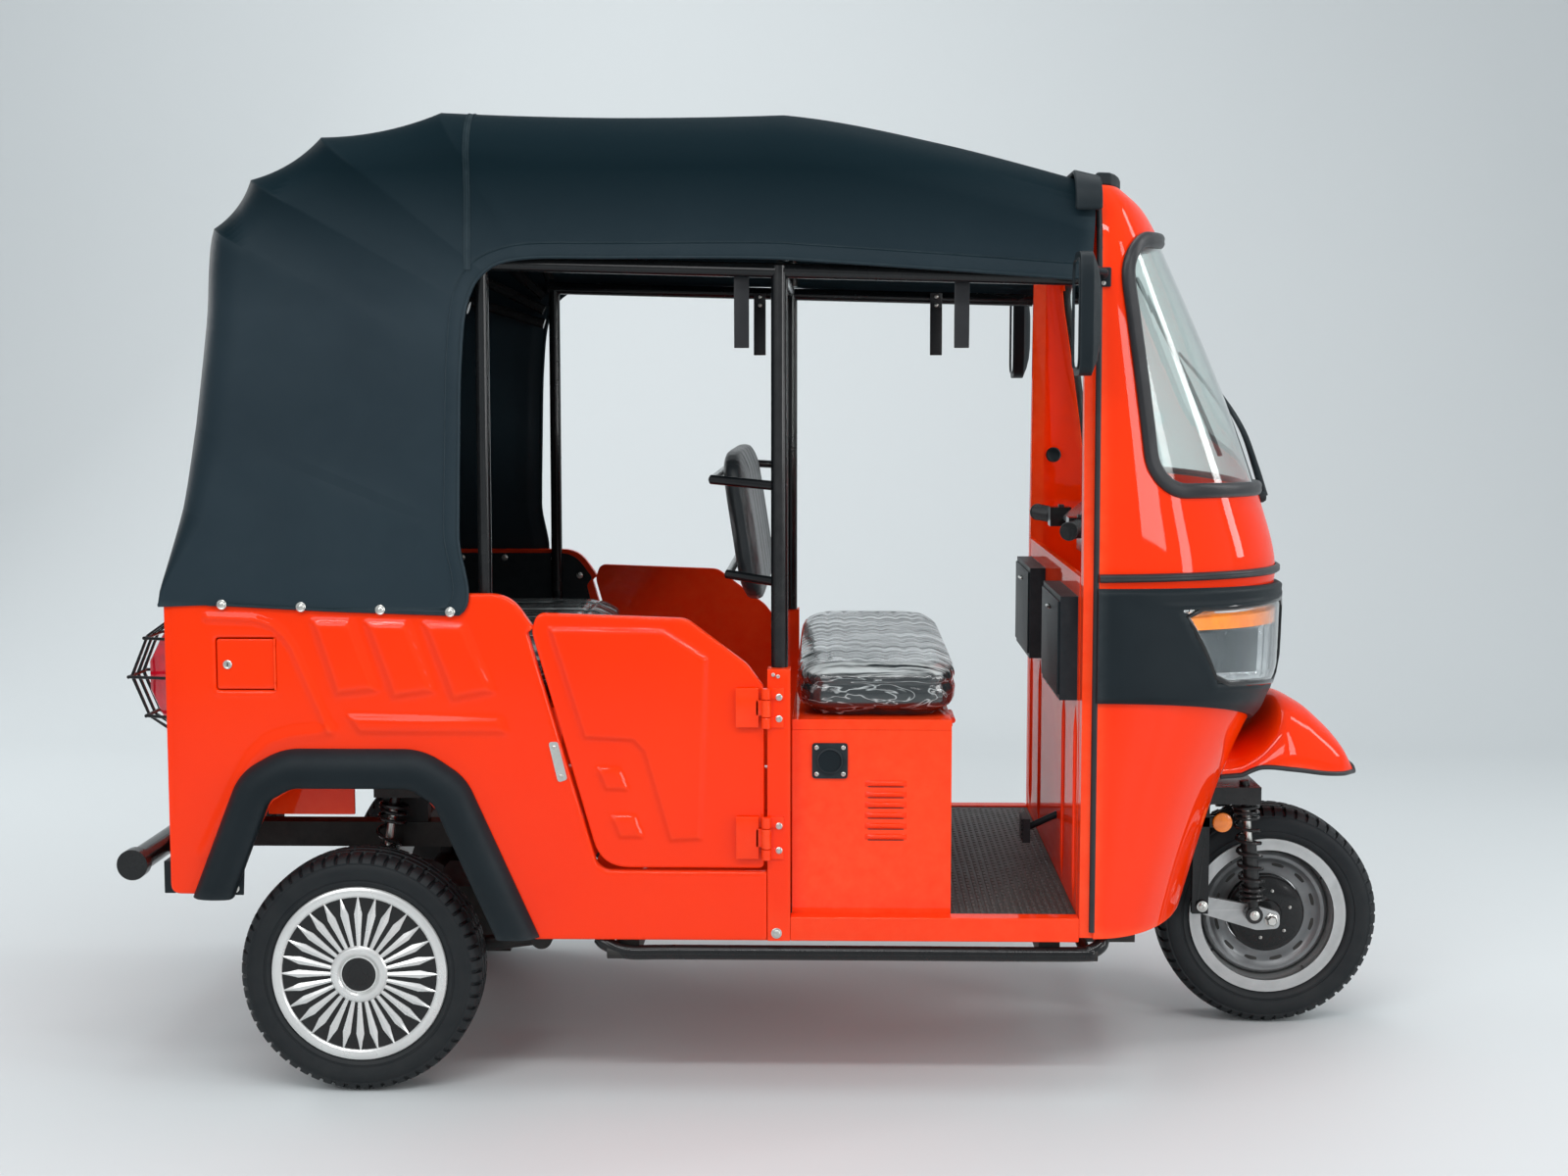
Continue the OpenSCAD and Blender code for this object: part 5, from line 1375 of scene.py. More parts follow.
solid = canopySheet.modifiers.new("cloth", "SOLIDIFY")
solid.thickness = 0.0016
solid.offset = -1
canopyArea = sum(p.area for p in canopySheet.data.polygons)

seam = Maker()
tree = BVHTree.FromPolygons([p for r in ribs for p in r],
                            [(i * colsN + j, i * colsN + j + 1, (i + 1) * colsN + j + 1, (i + 1) * colsN + j)
                             for i in range(rowsN - 1) for j in range(colsN - 1)])


def onCanopy(points, lift):        # drops a line of points on to the cloth
    made, outs = [], []
    centre = Vector((rearX + 300, 0, 1300))
    for p in points:
        spot, normal, _, _ = tree.find_nearest(Vector(p))
        if normal.dot(spot - centre) < 0:
            normal = -normal
        made.append(spot + normal * lift)
        outs.append(normal)
    return made, outs


def overTop(x, zLow, count=60):        # from the right side, over the roof, to the left side
    width = canopySettings["halfWidth"]
    top = float(np.interp(-x, [-p[0] for p in crest[:8]], [p[1] for p in crest[:8]]))
    side = [(x, -width, z) for z in np.linspace(zLow, top - 95, 16)]
    arc = [(x, -width + 95 * (1 - math.cos(a)), top - 95 + 95 * math.sin(a))
           for a in np.linspace(0.1, 1.5, 10)]
    half = side + arc
    mid = [(x, y, top) for y in np.linspace(-width + 110, width - 110, count)]
    return half + mid + [(a, -b, c) for a, b, c in reversed(half)]


for x, low in ((rearX + 236, eave - 20), (rearX + 226, eave - 20)):
    line, outs = onCanopy(overTop(x, low), 0.3)
    seam.strip(line, outs, 2.6, 1.5)
line, outs = onCanopy(overTop(rearX + 231, eave - 20), -0.4)
seam.strip(line, outs, 13, 1.4)
# piping round the hem and the front edge
for s in (-1, 1):
    hemPath = []
    for u in np.linspace(0, 12, 150):
        p = hemAt(u)
        hemPath.append((p.x, s * (canopySettings["halfWidth"] - 1.4), p.y))
    seam.tube(hemPath, 3.4, 8, flat=0.8)
    band = []
    for u in np.linspace(0.2, 12, 140):
        rib = canopyRib(u)
        p = rib[3] if s < 0 else rib[-4]
        band.append(p)
    seam.tube(band, 1.3, 6)
line, outs = onCanopy([(rearX - 366, y, 948) for y in np.linspace(-560, 560, 40)], 0.5)
seam.tube(line, 3.2, 8)
line, outs = onCanopy([(rearX - 361, y, 972) for y in np.linspace(-560, 560, 40)], 0.3)
seam.tube(line, 1.3, 6)
seams = seam.piece("canopySeams", "vehicle", canopyVinyl, slot="canopy_cloth", sharp=60)
snaps = Maker()
for x, z in ((-242, 944), (-92, 940), (58, 935), (190, 931)):
    for s in (-1, 1):
        snaps.lathe([(0, -1), (9.5, -1), (9.5, 1.4), (8.2, 2.6), (6.2, 2.2), (4.6, 3.6), (2.2, 4.2),
                     (0, 4.2)], (rearX + x, s * (canopySettings["halfWidth"] - 0.6), z + 6), (0, s, 0), 24,
                    0, closed=False)
for y in (-480, -320, -160, 0, 160, 320, 480):
    snaps.lathe([(0, -1), (9.5, -1), (9.5, 1.4), (8.2, 2.6), (6.2, 2.2), (4.6, 3.6), (2.2, 4.2), (0, 4.2)],
                (rearX - 364, y, 960), (-1, 0, 0), 24, 0, closed=False)
snapPiece = snaps.piece("canopySnaps", "vehicle", zincSteel, slot="steel_silver")
stage("canopy, %.2f square metres of cloth" % canopyArea)


# tyres
tyreSettings = {"blocks": 58, "grooveDepth": 5.5}
tyreHalf = [(148.7, -48.5), (158, -48.8), (167.5, -49.5), (170, -52.5), (175, -57.0), (180, -58.6),
            (181, -57.8), (184, -58.0), (185, -59.6), (195, -61.9), (203, -62.3), (212, -61.2),
            (214, -59.9), (216.5, -59.9), (218, -60.0), (222, -57.5), (226, -54.5), (229.0, -50.0),
            (230.6, -45.0), (231.8, -39.0), (232.3, -34.0), (232.6, -29.5), (232.7, -27.5), (227.6, -26.0),
            (227.6, -22.0), (232.9, -20.5), (233.1, -14), (233.2, -6.5), (233.2, -5.0), (227.8, -3.4),
            (227.8, 3.4)]
tyreProfile = tyreHalf[:-1] + [(r, -y) for r, y in reversed(tyreHalf[:-1])]


def makeTyre(name, centreY, centreX, body, node):
    maker = Maker()
    blocks = tyreSettings["blocks"]
    fractions = [0.0, 0.20, 0.27, 0.60, 0.93]
    sides = blocks * len(fractions)

    def shape(k, i, r, y):
        block, part = divmod(k, len(fractions))
        ideal = (block + fractions[part]) / blocks
        lean = 0.0
        wide = abs(y)
        land = 0.27 <= fractions[part] <= 0.93 + 1e-6
        drop = 0.0
        if wide > 28.5 and r > 216:        # shoulder blocks with slots between
            lean = (wide - 30) / 30 * 0.010
            if not land:
                drop = tyreSettings["grooveDepth"] * min(1.0, (r - 216) / 9)
        elif 6 < wide < 21 and r > 230:        # slits in the ribs, turned the other way
            lean = (-1 if y > 0 else 1) * (wide - 14) / 14 * 0.020
            if fractions[part] < 0.15 and block % 2 == 0:
                drop = 3.4
        angle = 2 * math.pi * (ideal - k / sides)
        return r - drop, y, angle + lean * (1 if y > 0 else -1)
    maker.lathe(tyreProfile, (centreX, centreY, axleZ), (0, 1, 0), sides, 0, closed=True, shape=shape)
    return maker.piece(name, body, tyreRubber, node, "tyre_rubber", sharp=30)


makeTyre("frontTyre", 0, frontX, "front_wheel", "front_tyre")
makeTyre("rearTyreRight", -rearWheelY, rearX, "rear_wheel_right", "rear_tyre_right")
makeTyre("rearTyreLeft", rearWheelY, rearX, "rear_wheel_left", "rear_tyre_left")
stage("tyres")


# rims and covers
rimSettings = {"slots": 12}


def rimBarrel(maker, centre, slot=0):
    profile = [(141.8, -51.6), (158, -52.2), (166.2, -52.6), (167.4, -50.8), (166.0, -48.4), (158, -48.8),
               (149.2, -48.2), (148.3, -46), (148.3, -30), (143, -22), (141.5, -12), (141.5, 12), (143, 22),
               (148.3, 30), (148.3, 46), (149.2, 48.2), (158, 48.8), (166.0, 48.4), (167.4, 50.8),
               (166.2, 52.6), (158, 52.2), (146, 51.0), (143.5, 46), (143.5, 31), (138.5, 24), (136.5, 12),
               (136.5, -12), (138.5, -24), (143.5, -31), (143.5, -46)]
    maker.lathe(profile, centre, (0, 1, 0), 96, slot)


frontRim = Maker()
rimBarrel(frontRim, (frontX, 0, axleZ))
for s in (1, -1):        # pressed dish between the barrel and the drum
    dish = [(137.5, 6 * s), (132, 20 * s), (126, 26 * s), (119, 25 * s), (112, 19 * s), (104, 15 * s),
            (84, 14 * s), (84, 10 * s), (104, 11 * s), (114, 14 * s), (121, 20 * s), (126, 21 * s),
            (130, 15 * s), (134, 2 * s)]
    frontRim.lathe(dish, (frontX, 0, axleZ), (0, 1, 0), 96, 4)
    for k in range(rimSettings["slots"]):        # dark plates round the dish: painted shade where the slots open into the wheel
        a = 2 * math.pi * (k + 0.5) / rimSettings["slots"]
        along = Vector((-math.sin(a), 0, math.cos(a)))
        out = Vector((math.cos(a), 0, math.sin(a)))
        c = Vector((frontX, s * 15.6, axleZ)) + out * 107
        hole = roundedLine([c + along * u + out * v + Vector((0, s * v * 0.32, 0)) for u, v in
                            ((-13, -7), (13, -7), (15, 8), (-15, 8))], 6, 4)
        m = len(hole)
        frontRim.add(hole + [p + Vector((0, s * 1.2, 0)) for p in hole],
                     [tuple(range(m)), tuple(range(m, 2 * m))] + skinFaces(2, m), 1)
    drum = [(9.2, 45 * s), (30, 45 * s), (33, 42 * s), (62, 41 * s), (70, 38.5 * s), (78, 37 * s),
            (81.8, 33 * s), (81.8, 24 * s), (79, 20 * s), (81.8, 16 * s), (81.8, 0), (9.2, 0)]
    frontRim.lathe(drum, (frontX, 0, axleZ), (0, 1, 0), 72, 2)
    for k in range(6):
        a = 2 * math.pi * k / 6 + 0.3
        frontRim.bolt((frontX + 52 * math.cos(a), s * 41.2, axleZ + 52 * math.sin(a)), (0, s, 0), 2.6, 3)
for a in np.linspace(0, 2 * math.pi, 5)[:-1] + 0.6:
    frontRim.lathe([(0, 0), (3, 0), (3, 6), (2, 10), (0, 10)],
                   (frontX + 139 * math.cos(a), -38, axleZ + 139 * math.sin(a)), (0, -1, 0), 10, 2,
                   closed=False)
frontRim.piece("frontRim", "front_wheel", [rimSteel, chassisBlack, glossBlack, zincSteel, dishSteel],
               "front_rim", "steel_silver", sharp=30)

coverSettings = {"spokes": 28, "tip": 149.0, "widest": 118.0, "root": 54.0, "half": 7.6, "rootHalf": 3.4}
for side, sign in (("right", -1), ("left", 1)):
    rim = Maker()
    centre = (rearX, sign * rearWheelY, axleZ)
    rimBarrel(rim, centre)
    inboard = -sign        # plain steel dish and hub seen from inside
    hubY = sign * (rearWheelY + 5)
    rim.lathe([(20.2, -20), (50, -20), (52, -18), (52, -7), (60, -6), (90, -2), (120, -5), (141.8, -4),
               (141.8, 4), (120, 3), (90, 5), (60, 6), (52, 7), (52, 18), (50, 20), (20.2, 20)],
              (rearX, hubY, axleZ), (0, 1, 0), 72, 0)
    for k in range(4):
        a = 2 * math.pi * k / 4 + 0.4
        rim.bolt((rearX + 38 * math.cos(a), hubY + inboard * 20, axleZ + 38 * math.sin(a)), (0, inboard, 0),
                 6, 1)
    rim.piece("rearRim" + side.capitalize(), "rear_wheel_" + side, [rimSteel, zincSteel], "rear_rim_" + side,
              "steel_silver", sharp=30)
    cover = Maker()
    base = Vector((rearX, sign * (rearWheelY + 62.5 - 7.4), axleZ))
    axis = Vector((0, sign, 0))
    cover.lathe([(0, -0.5), (150, -2.8), (156, -2.4), (156, 0.2), (150, -0.6), (120, -1.6), (60, -0.6),
                 (0, 0.2)], base, axis, 96, 1, closed=False)
    ring = [(149.5, -2.5), (169.5, -2.6), (170.3, -0.6), (168.6, 2.8), (164.5, 4.6), (158, 5.0),
            (153.2, 4.2), (150.2, 2.0), (149.5, 0)]
    cover.lathe(ring, base, axis, 120, 0)
    hub = [(33, 0), (55, 0), (55.5, 3.4), (52.5, 6.6), (48, 8.0), (44.5, 8.4), (41, 7.4), (38.5, 4.6),
           (37, 3.2), (35.5, 4.6), (34.5, 6.0), (33, 6.0)]
    cover.lathe(hub, base, axis, 96, 0)
    cover.lathe([(0, 6.6), (20, 6.2), (31, 5.0), (34.0, 3.2), (34.0, 0), (0, 0)], base, axis, 64, 1,
                closed=False)
    for k in range(coverSettings["spokes"]):
        a = 2 * math.pi * k / coverSettings["spokes"]
        out = Vector((math.cos(a), 0, math.sin(a)))
        across = Vector((-math.sin(a), 0, math.cos(a)))
        spots = [(coverSettings["root"], coverSettings["rootHalf"], 4.6), (86, 5.2, 4.4),
                 (coverSettings["widest"], coverSettings["half"], 4.4), (132, 4.4, 4.2),
                 (coverSettings["tip"] + 3, 0.9, 3.4)]
        verts = []
        for r, half, high in spots:
            for u, v in ((-half, -1.0), (-half, high - 2.2), (0, high), (half, high - 2.2), (half, -1.0)):
                verts.append(base + out * r + across * u + axis * v)
        faces = [(i * 5 + m, i * 5 + m + 1, i * 5 + m + 6, i * 5 + m + 5) for i in range(4) for m in range(4)]
        cover.add(verts, faces + [(0, 1, 2, 3, 4), (24, 23, 22, 21, 20)], 0)
    cover.piece("wheelCover" + side.capitalize(), "rear_wheel_" + side, [wheelSilver, glossBlack],
                "wheel_cover_" + side, "cover_silver", sharp=24)
stage("rims and covers")


# springs
def coil(maker, low, high, radius, wire, turns, slot=0, closeTurns=1.6):
    low, high = Vector(low), Vector(high)
    axis = (high - low).normalized()
    side = axis.orthogonal().normalized()
    other = axis.cross(side)
    length = (high - low).length
    path = []
    count = int(turns * 22)
    for k in range(count + 1):
        t = k / count
        a = 2 * math.pi * turns * t
        end = closeTurns / turns        # the last turns lie close together
        s = t
        if t < end:
            s = t * 0.55
        elif t > 1 - end:
            s = 1 - (1 - t) * 0.55
        else:
            s = end * 0.55 + (t - end) * (1 - 1.1 * end) / (1 - 2 * end)
        path.append(low + axis * (length * s) + (side * math.cos(a) + other * math.sin(a)) * radius)
    maker.tube(path, wire, 8, slot)


def dampedStrut(maker, foot, top, outerR, springLow, springHigh, turns):
    foot, top = Vector(foot), Vector(top)
    axis = (top - foot).normalized()
    a, b = foot + axis * springLow, top - axis * springHigh
    maker.lathe([(0, 0), (outerR * 0.58, 0), (outerR * 0.58, (b - a).length * 0.62),
                 (0, (b - a).length * 0.62)], a, axis, 28, 0, closed=False)
    maker.tube([a, b], outerR * 0.30, 18, 1)
    maker.lathe([(8, 0), (outerR, 0), (outerR + 0.8, 2), (outerR, 5), (outerR * 0.6, 7), (8, 7)],
                a - axis * 7, axis, 32, 0)
    maker.lathe([(8, 0), (outerR * 0.7, 0), (outerR, 3), (outerR, 7), (8, 8)], b - axis * 1, axis, 32, 0)
    coil(maker, a + axis * 3, b - axis * 2, outerR - 4.2, 3.9, turns)
    maker.tube([foot + axis * 6, a], outerR * 0.42, 20, 0)
    maker.tube([b, top], outerR * 0.36, 20, 0)


dampers = Maker()
foot = Vector((frontX - 41, 112, axleZ + 17))
top = Vector((frontX - 67, 112, tyreR * 2 + 70))
along = (top - foot).normalized()
dampedStrut(dampers, foot, top, 28.5, 40, 60, 8.5)
dampers.lathe([(9.1, 96), (17, 96), (18, 98), (18, 122), (17, 124), (9.1, 124)], (foot.x, 0, foot.z),
              (0, 1, 0), 32, 0)
dampers.mirrored()
dampers.piece("frontDampers", "steering", [glossBlack, zincSteel], "front_dampers", "black_plastic", sharp=35)
rearSprings = Maker()
damperY = corners("rear_dampers")[1].y - 30
low, high = corners("rear_dampers")
foot = Vector((rearX, damperY, low.z + 2))
top = Vector((rearX + 44, damperY, high.z - 2))
dampedStrut(rearSprings, foot, top, 29.0, 66, 24, 6.5)
rearSprings.tube([foot + Vector((0, -16, 4)), foot + Vector((0, 16, 4))], 13, 20)
rearSprings.mirrored()
rearSprings.piece("rearDampers", "vehicle", [glossBlack, zincSteel], "rear_dampers", "black_plastic",
                  sharp=35)


# wheel flares
flareLine = [(-280, 364), (-187, archTop + 2), (-123, archTop + 38), (123, archTop + 38),
             (185, archTop - 4), (324, sillZ - 24)]
flareLine = [Vector((rearX + x, 0, z)) for x, z in flareLine]
flarePath = roundedLine(flareLine, [0, 70, 90, 90, 70, 0], 12, closed=False)
dense = []
for a, b in zip(flarePath, flarePath[1:]):
    count = max(1, int((b - a).length / 14))
    dense += [a.lerp(b, k / count) for k in range(count)]
flarePath = dense + [flarePath[-1]]
flareSettings = {"rearFoot": 389, "frontFoot": 314}
# across the arch, outwards from the body
flareSection = [(-38, -1), (-39, 3), (-37.5, 8), (-33, 17), (-24, 27.5), (-12, 33.5), (2, 35.6), (16, 35.2),
                (28, 33.5), (34, 30), (36.5, 25), (37.5, 18), (37.5, 4), (36.5, -1)]
flares = Maker()
n = len(flarePath)
verts, m = [], len(flareSection)
for i, p in enumerate(flarePath):
    along = (flarePath[min(i + 1, n - 1)] - flarePath[max(i - 1, 0)]).normalized()
    across = Vector((-along.z, 0, along.x))
    if across.dot(p - Vector((rearX, 0, axleZ))) < 0:
        across = -across
    foot = flareSettings["rearFoot"] if i < n / 2 else flareSettings["frontFoot"]
    for u, v in flareSection:        # both feet are cut off level
        spot = p - across * (u * 0.97) + Vector((0, sideY + max(v, -1), 0))
        if spot.z < foot:
            spot += along * ((foot - spot.z) / along.z)
        verts.append(spot)
faces = skinFaces(n, m)
flares.add(verts, faces + [tuple(range(m)), tuple((n - 1) * m + k for k in reversed(range(m)))])
plate = [(-272, 390), (-217, 390), (-213, 470), (-232, 500), (-262, 440)]        # behind the rear foot
flares.prism([(rearX + x, z) for x, z in plate], sideY - 10, sideY - 6, 1, 0)
flares.bolt((rearX - 233, sideY - 6, 403), (0, 1, 0), 6, 1)
flares.block((rearX - 374, sideY - 62, 389), (rearX - 352, sideY - 22, 452), 0, bevel=2)
flares.mirrored()
flares.piece("wheelFlares", "vehicle", [blackPlastic, zincSteel], "wheel_flares", "black_plastic", sharp=40)
stage("springs and flares")


# seats
seatSettings = {"voxel": 7.0, "pressure": 4.0, "frames": 20}


def pad(name, low, high, body, stands, shape, material, cap):
    # a closed crowned form: a squared ball pushed out to the cushion's box
    low, high = Vector(low), Vector(high)
    centre, half = (low + high) / 2, (high - low) / 2
    bm = bmesh.new()
    bmesh.ops.create_cube(bm, size=2)
    bmesh.ops.subdivide_edges(bm, edges=bm.edges[:], cuts=11, use_grid_fill=True)
    for v in bm.verts:
        p = v.co
        q = Vector(p)
        power = shape["power"]
        norm = (abs(q.x) ** power + abs(q.y) ** power + abs(q.z) ** power) ** (1 / power)
        q = q / norm
        v.co = Vector((centre.x + q.x * half.x, centre.y + q.y * half.y, centre.z + q.z * half.z)) * 0.001
    mesh = bpy.data.meshes.new(name)
    bm.to_mesh(mesh)
    bm.free()
    obj = bpy.data.objects.new(name, mesh)
    scene.collection.objects.link(obj)
    bpy.context.view_layer.objects.active = obj
    remesh = obj.modifiers.new("voxels", "REMESH")
    remesh.mode = "VOXEL"
    remesh.voxel_size = seatSettings["voxel"] * 0.001
    rest = applied(obj)
    before = np.array([v.co[:] for v in rest.vertices])
    cloth = obj.modifiers.new("cloth", "CLOTH")
    cloth.settings.use_pressure = True
    cloth.settings.uniform_pressure_force = seatSettings["pressure"]
    cloth.settings.effector_weights.gravity = 0
    cloth.settings.quality = 4
    cloth.settings.tension_stiffness = 8
    cloth.point_cache.frame_start = 1
    cloth.point_cache.frame_end = seatSettings["frames"]
    for k in range(1, seatSettings["frames"] + 1):
        scene.frame_set(k)
    dg = bpy.context.evaluated_depsgraph_get()
    blown = obj.evaluated_get(dg).to_mesh()
    after = np.array([v.co[:] for v in blown.vertices])
    obj.evaluated_get(dg).to_mesh_clear()
    obj.modifiers.remove(cloth)
    scene.frame_set(1)
    move = after - before
    length = np.linalg.norm(move, axis=1, keepdims=True)
    move *= np.minimum(1, cap * 0.001 / np.maximum(length, 1e-9))
    obj.data.vertices.foreach_set("co", (before + move).ravel())
    # trimmed back into its box, flat below, with seams and channels last
    co = np.array([v.co[:] for v in obj.data.vertices]) * 1000
    co = shape["after"](co, low, high)
    obj.data.vertices.foreach_set("co", (co * 0.001).ravel())
    sub = obj.modifiers.new("rounding", "SUBSURF")
    sub.levels = sub.render_levels = 1
    obj.data.materials.append(material)
    for poly in obj.data.polygons:
        poly.use_smooth = True
    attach(obj, body)
    if stands:
        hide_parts(stands)
    return obj


def applied(obj):
    dg = bpy.context.evaluated_depsgraph_get()
    mesh = bpy.data.meshes.new_from_object(obj.evaluated_get(dg))
    obj.modifiers.clear()
    old = obj.data
    obj.data = mesh
    bpy.data.meshes.remove(old)
    return mesh


def fitBox(co, low, high):        # scales the blown form back to its box
    a, b = co.min(0), co.max(0)
    return (co - a) / (b - a) * (np.array(high) - np.array(low)) + np.array(low)


def groove(co, along, at, depth, width, facing, mask=None):
    d = np.abs(co[:, along] - at)
    g = depth * np.exp(-(d / width) ** 2)
    if mask is not None:
        g = g * mask
    co[:, facing[0]] -= facing[1] * g
    return co


def flatBase(co, low, amount=8.0):
    z = co[:, 2]
    co[:, 2] = np.where(z < low[2] + amount, low[2] + (z - low[2]) * 0.15, z)
    return co


def driverSeatAfter(co, low, high):
    co = fitBox(co, low, high)
    co = flatBase(co, low)
    top = smooth((co[:, 2] - (low[2] + high[2]) / 2) / 30)
    ends = 1 - smooth((np.abs(co[:, 1]) - (high[1] - 70)) / 20)
    for x in np.linspace(low[0] + 60, high[0] - 60, 6):        # sewn channels across the width
        co = groove(co, 0, x, 5.0, 6.0, (2, 1), top * ends)
    d = np.abs(co[:, 2] - (low[2] + 62))
    side = smooth((np.maximum(np.abs(co[:, 1]) / high[1], np.abs(co[:, 0] - (low[0] + high[0]) / 2)
                              / ((high[0] - low[0]) / 2)) - 0.88) / 0.08)
    centre = np.array([(low[0] + high[0]) / 2, 0])
    pull = 4.5 * np.exp(-(d / 5) ** 2) * side
    co[:, 0] -= np.sign(co[:, 0] - centre[0]) * pull
    co[:, 1] -= np.sign(co[:, 1]) * pull
    return co


def benchAfter(co, low, high):
    co = fitBox(co, low, high)
    co = flatBase(co, low)
    top = smooth((co[:, 2] - (low[2] + high[2]) / 2) / 30)
    for y in (-330, -165, 0, 165, 330):
        co = groove(co, 1, y, 6.0, 7.0, (2, 1), top)
    co = groove(co, 0, high[0] - 60, 4.0, 6.0, (2, 1), top)
    return co


def backAfter(co, low, high):
    co = fitBox(co, low, high)
    t = clamp01((co[:, 2] - low[2]) / (high[2] - low[2]))
    front = smooth((co[:, 0] - (low[0] + high[0]) / 2) / 14)
    for y in (-330, -165, 0, 165, 330):
        co = groove(co, 1, y, 6.0, 7.0, (0, 1), front)
    co = groove(co, 2, low[2] + 150, 5.0, 7.0, (0, 1), front)
    co[:, 0] -= 104 * t
    return co


def driverBackAfter(co, low, high):
    co = fitBox(co, low, high)
    t = clamp01((co[:, 2] - low[2]) / (high[2] - low[2]))
    front = smooth((co[:, 0] - (low[0] + high[0]) / 2) / 8)
    for y in (-240, -120, 0, 120, 240):
        co = groove(co, 1, y, 3.5, 6.0, (0, 1), front)
    co[:, 0] -= 46 * t
    return co


low, high = corners("driver_cushion")
pad("driverCushion", low + Vector((0, 0, 0.3)), high, "seat_lid", "driver_cushion",
    {"power": 7.0, "after": driverSeatAfter}, seatFilm, 9.0)
low, high = corners("passenger_seat")
bench = Vector((rearX - 40, low.y + 4, low.z + 0.4)), Vector((high.x, high.y - 4, 866))
pad("benchCushion", bench[0], bench[1], "vehicle", "passenger_seat",
    {"power": 7.0, "after": benchAfter}, seatFilm, 12.0)
pad("benchBack", (rearX - 124, low.y + 12, 772), (rearX - 44, high.y - 12, high.z - 2), "vehicle", None,
    {"power": 7.0, "after": backAfter}, seatVinyl, 12.0)
low, high = corners("driver_backrest")
pad("driverBack", (high.x - 52, low.y, low.z), (high.x, high.y, high.z), "vehicle", "driver_backrest",
    {"power": 6.0, "after": driverBackAfter}, seatVinyl, 7.0)
stage("cushions")


# driver's seat box and lid
boxY = 530.0
boxX1 = corners("seat_lid")[0].x + 304
softCopy("seatBoxShell", "seat_box", "vehicle", bodyPaint, bevel=5, segments=4)
softCopy("seatLid", "seat_lid", "seat_lid", bodyPaint, bevel=2.5, segments=3)
fittings = Maker()
outletX, outletZ = rearX + 905, 649
plate = roundedLine([Vector((outletX + u, 0, outletZ + v)) for u, v in ((-34, -34), (34, -34), (34, 34),
    (-34, 34))], 7, 4)
fittings.prism(sideOn(plate), boxY - 1, boxY + 4, 1, 0)
fittings.lathe([(0, 0), (25, 0), (25, 3.4), (22, 4.4), (20.5, 2.6), (0, 2.0)], (outletX, boxY + 4, outletZ),
               (0, 1, 0), 40, 0, closed=False)
for u in (-25.5, 25.5):
    for v in (-25.5, 25.5):
        fittings.bolt((outletX + u, boxY + 4, outletZ + v), (0, 1, 0), 3.0, 1)
for z in (606, 585, 565, 545, 524, 503):        # louvres, each a half-round hood open below
    cols = np.linspace(rearX + 972, rearX + 1052, 16)
    verts, faces = [], []
    for i, x in enumerate(cols):
        e = min(i, 15 - i) / 3.0
        swell = smooth(np.float64(e))
        for a in np.linspace(0, 1, 8):
            up = -6.5 + 11 * a
            outBy = 7.0 * swell * math.sin(math.pi * min(a * 0.62, 1)) ** 0.8 if a < 0.999 else 0
            verts.append((x, boxY + 0.4 + outBy * (1 - a) ** 0.35, z + up))
    faces = [(i * 8 + k, i * 8 + k + 1, (i + 1) * 8 + k + 1, (i + 1) * 8 + k) for i in range(15)
             for k in range(7)]
    fittings.add(verts, faces, 2)
    fittings.block((cols[0] + 6, boxY - 0.3, z - 8), (cols[-1] - 6, boxY + 0.6, z - 5.5), 0)
fittings.mirrored()
fittings.piece("seatBoxFittings", "vehicle", [blackPlastic, zincSteel, bodyPaint], slot="black_plastic",
               sharp=40)


# floor
matSettings = {"pitch": 26.0, "long": 21.0, "wide": 8.0, "proud": 1.7}
matLow, matHigh = corners("floor_mat")
floorMat = Maker()
floorMat.block((matLow.x, matLow.y, matLow.z), (matHigh.x, matHigh.y, matHigh.z - 1.6), bevel=1.2)
pitch, proud = matSettings["pitch"], matSettings["proud"]
a, b = matSettings["wide"] / 2, matSettings["long"] / 2
treadFaces = [(4, 5, 6, 7), (0, 1, 5, 4), (1, 2, 6, 5), (2, 3, 7, 6), (3, 0, 4, 7)]
for x0, x1 in ((boxX1 + 10, matHigh.x - 6), (matLow.x + 10, hingePost[0].x - 8)):
    for i, x in enumerate(np.arange(x0, x1, pitch / 2)):
        for y in np.arange(matLow.y + 14, matHigh.y - 12, pitch):
            y += pitch / 2 if i % 2 else 0
            if y > matHigh.y - 14:
                continue
            floorMat.add([(x + u * a * f, y + v * b * g, matHigh.z - drop)
                          for f, g, drop in ((1, 1, proud), (0.6, 0.8, 0))
                          for u, v in ((-1, -1), (1, -1), (1, 1), (-1, 1))], treadFaces)
floorMat.piece("floorMat", "vehicle", matRubber, "floor_mat", "rubber_mat", sharp=20)
softCopy("floorPan", "floor_pan", "vehicle", bodyPaint, bevel=2.5, segments=3)
softCopy("rearDeck", "rear_deck", "vehicle", bodyPaint, bevel=2.0)
softCopy("tailPanel", "tail_panel", "vehicle", bodyPaint, bevel=4.0, segments=4)
stage("seat box and floor")


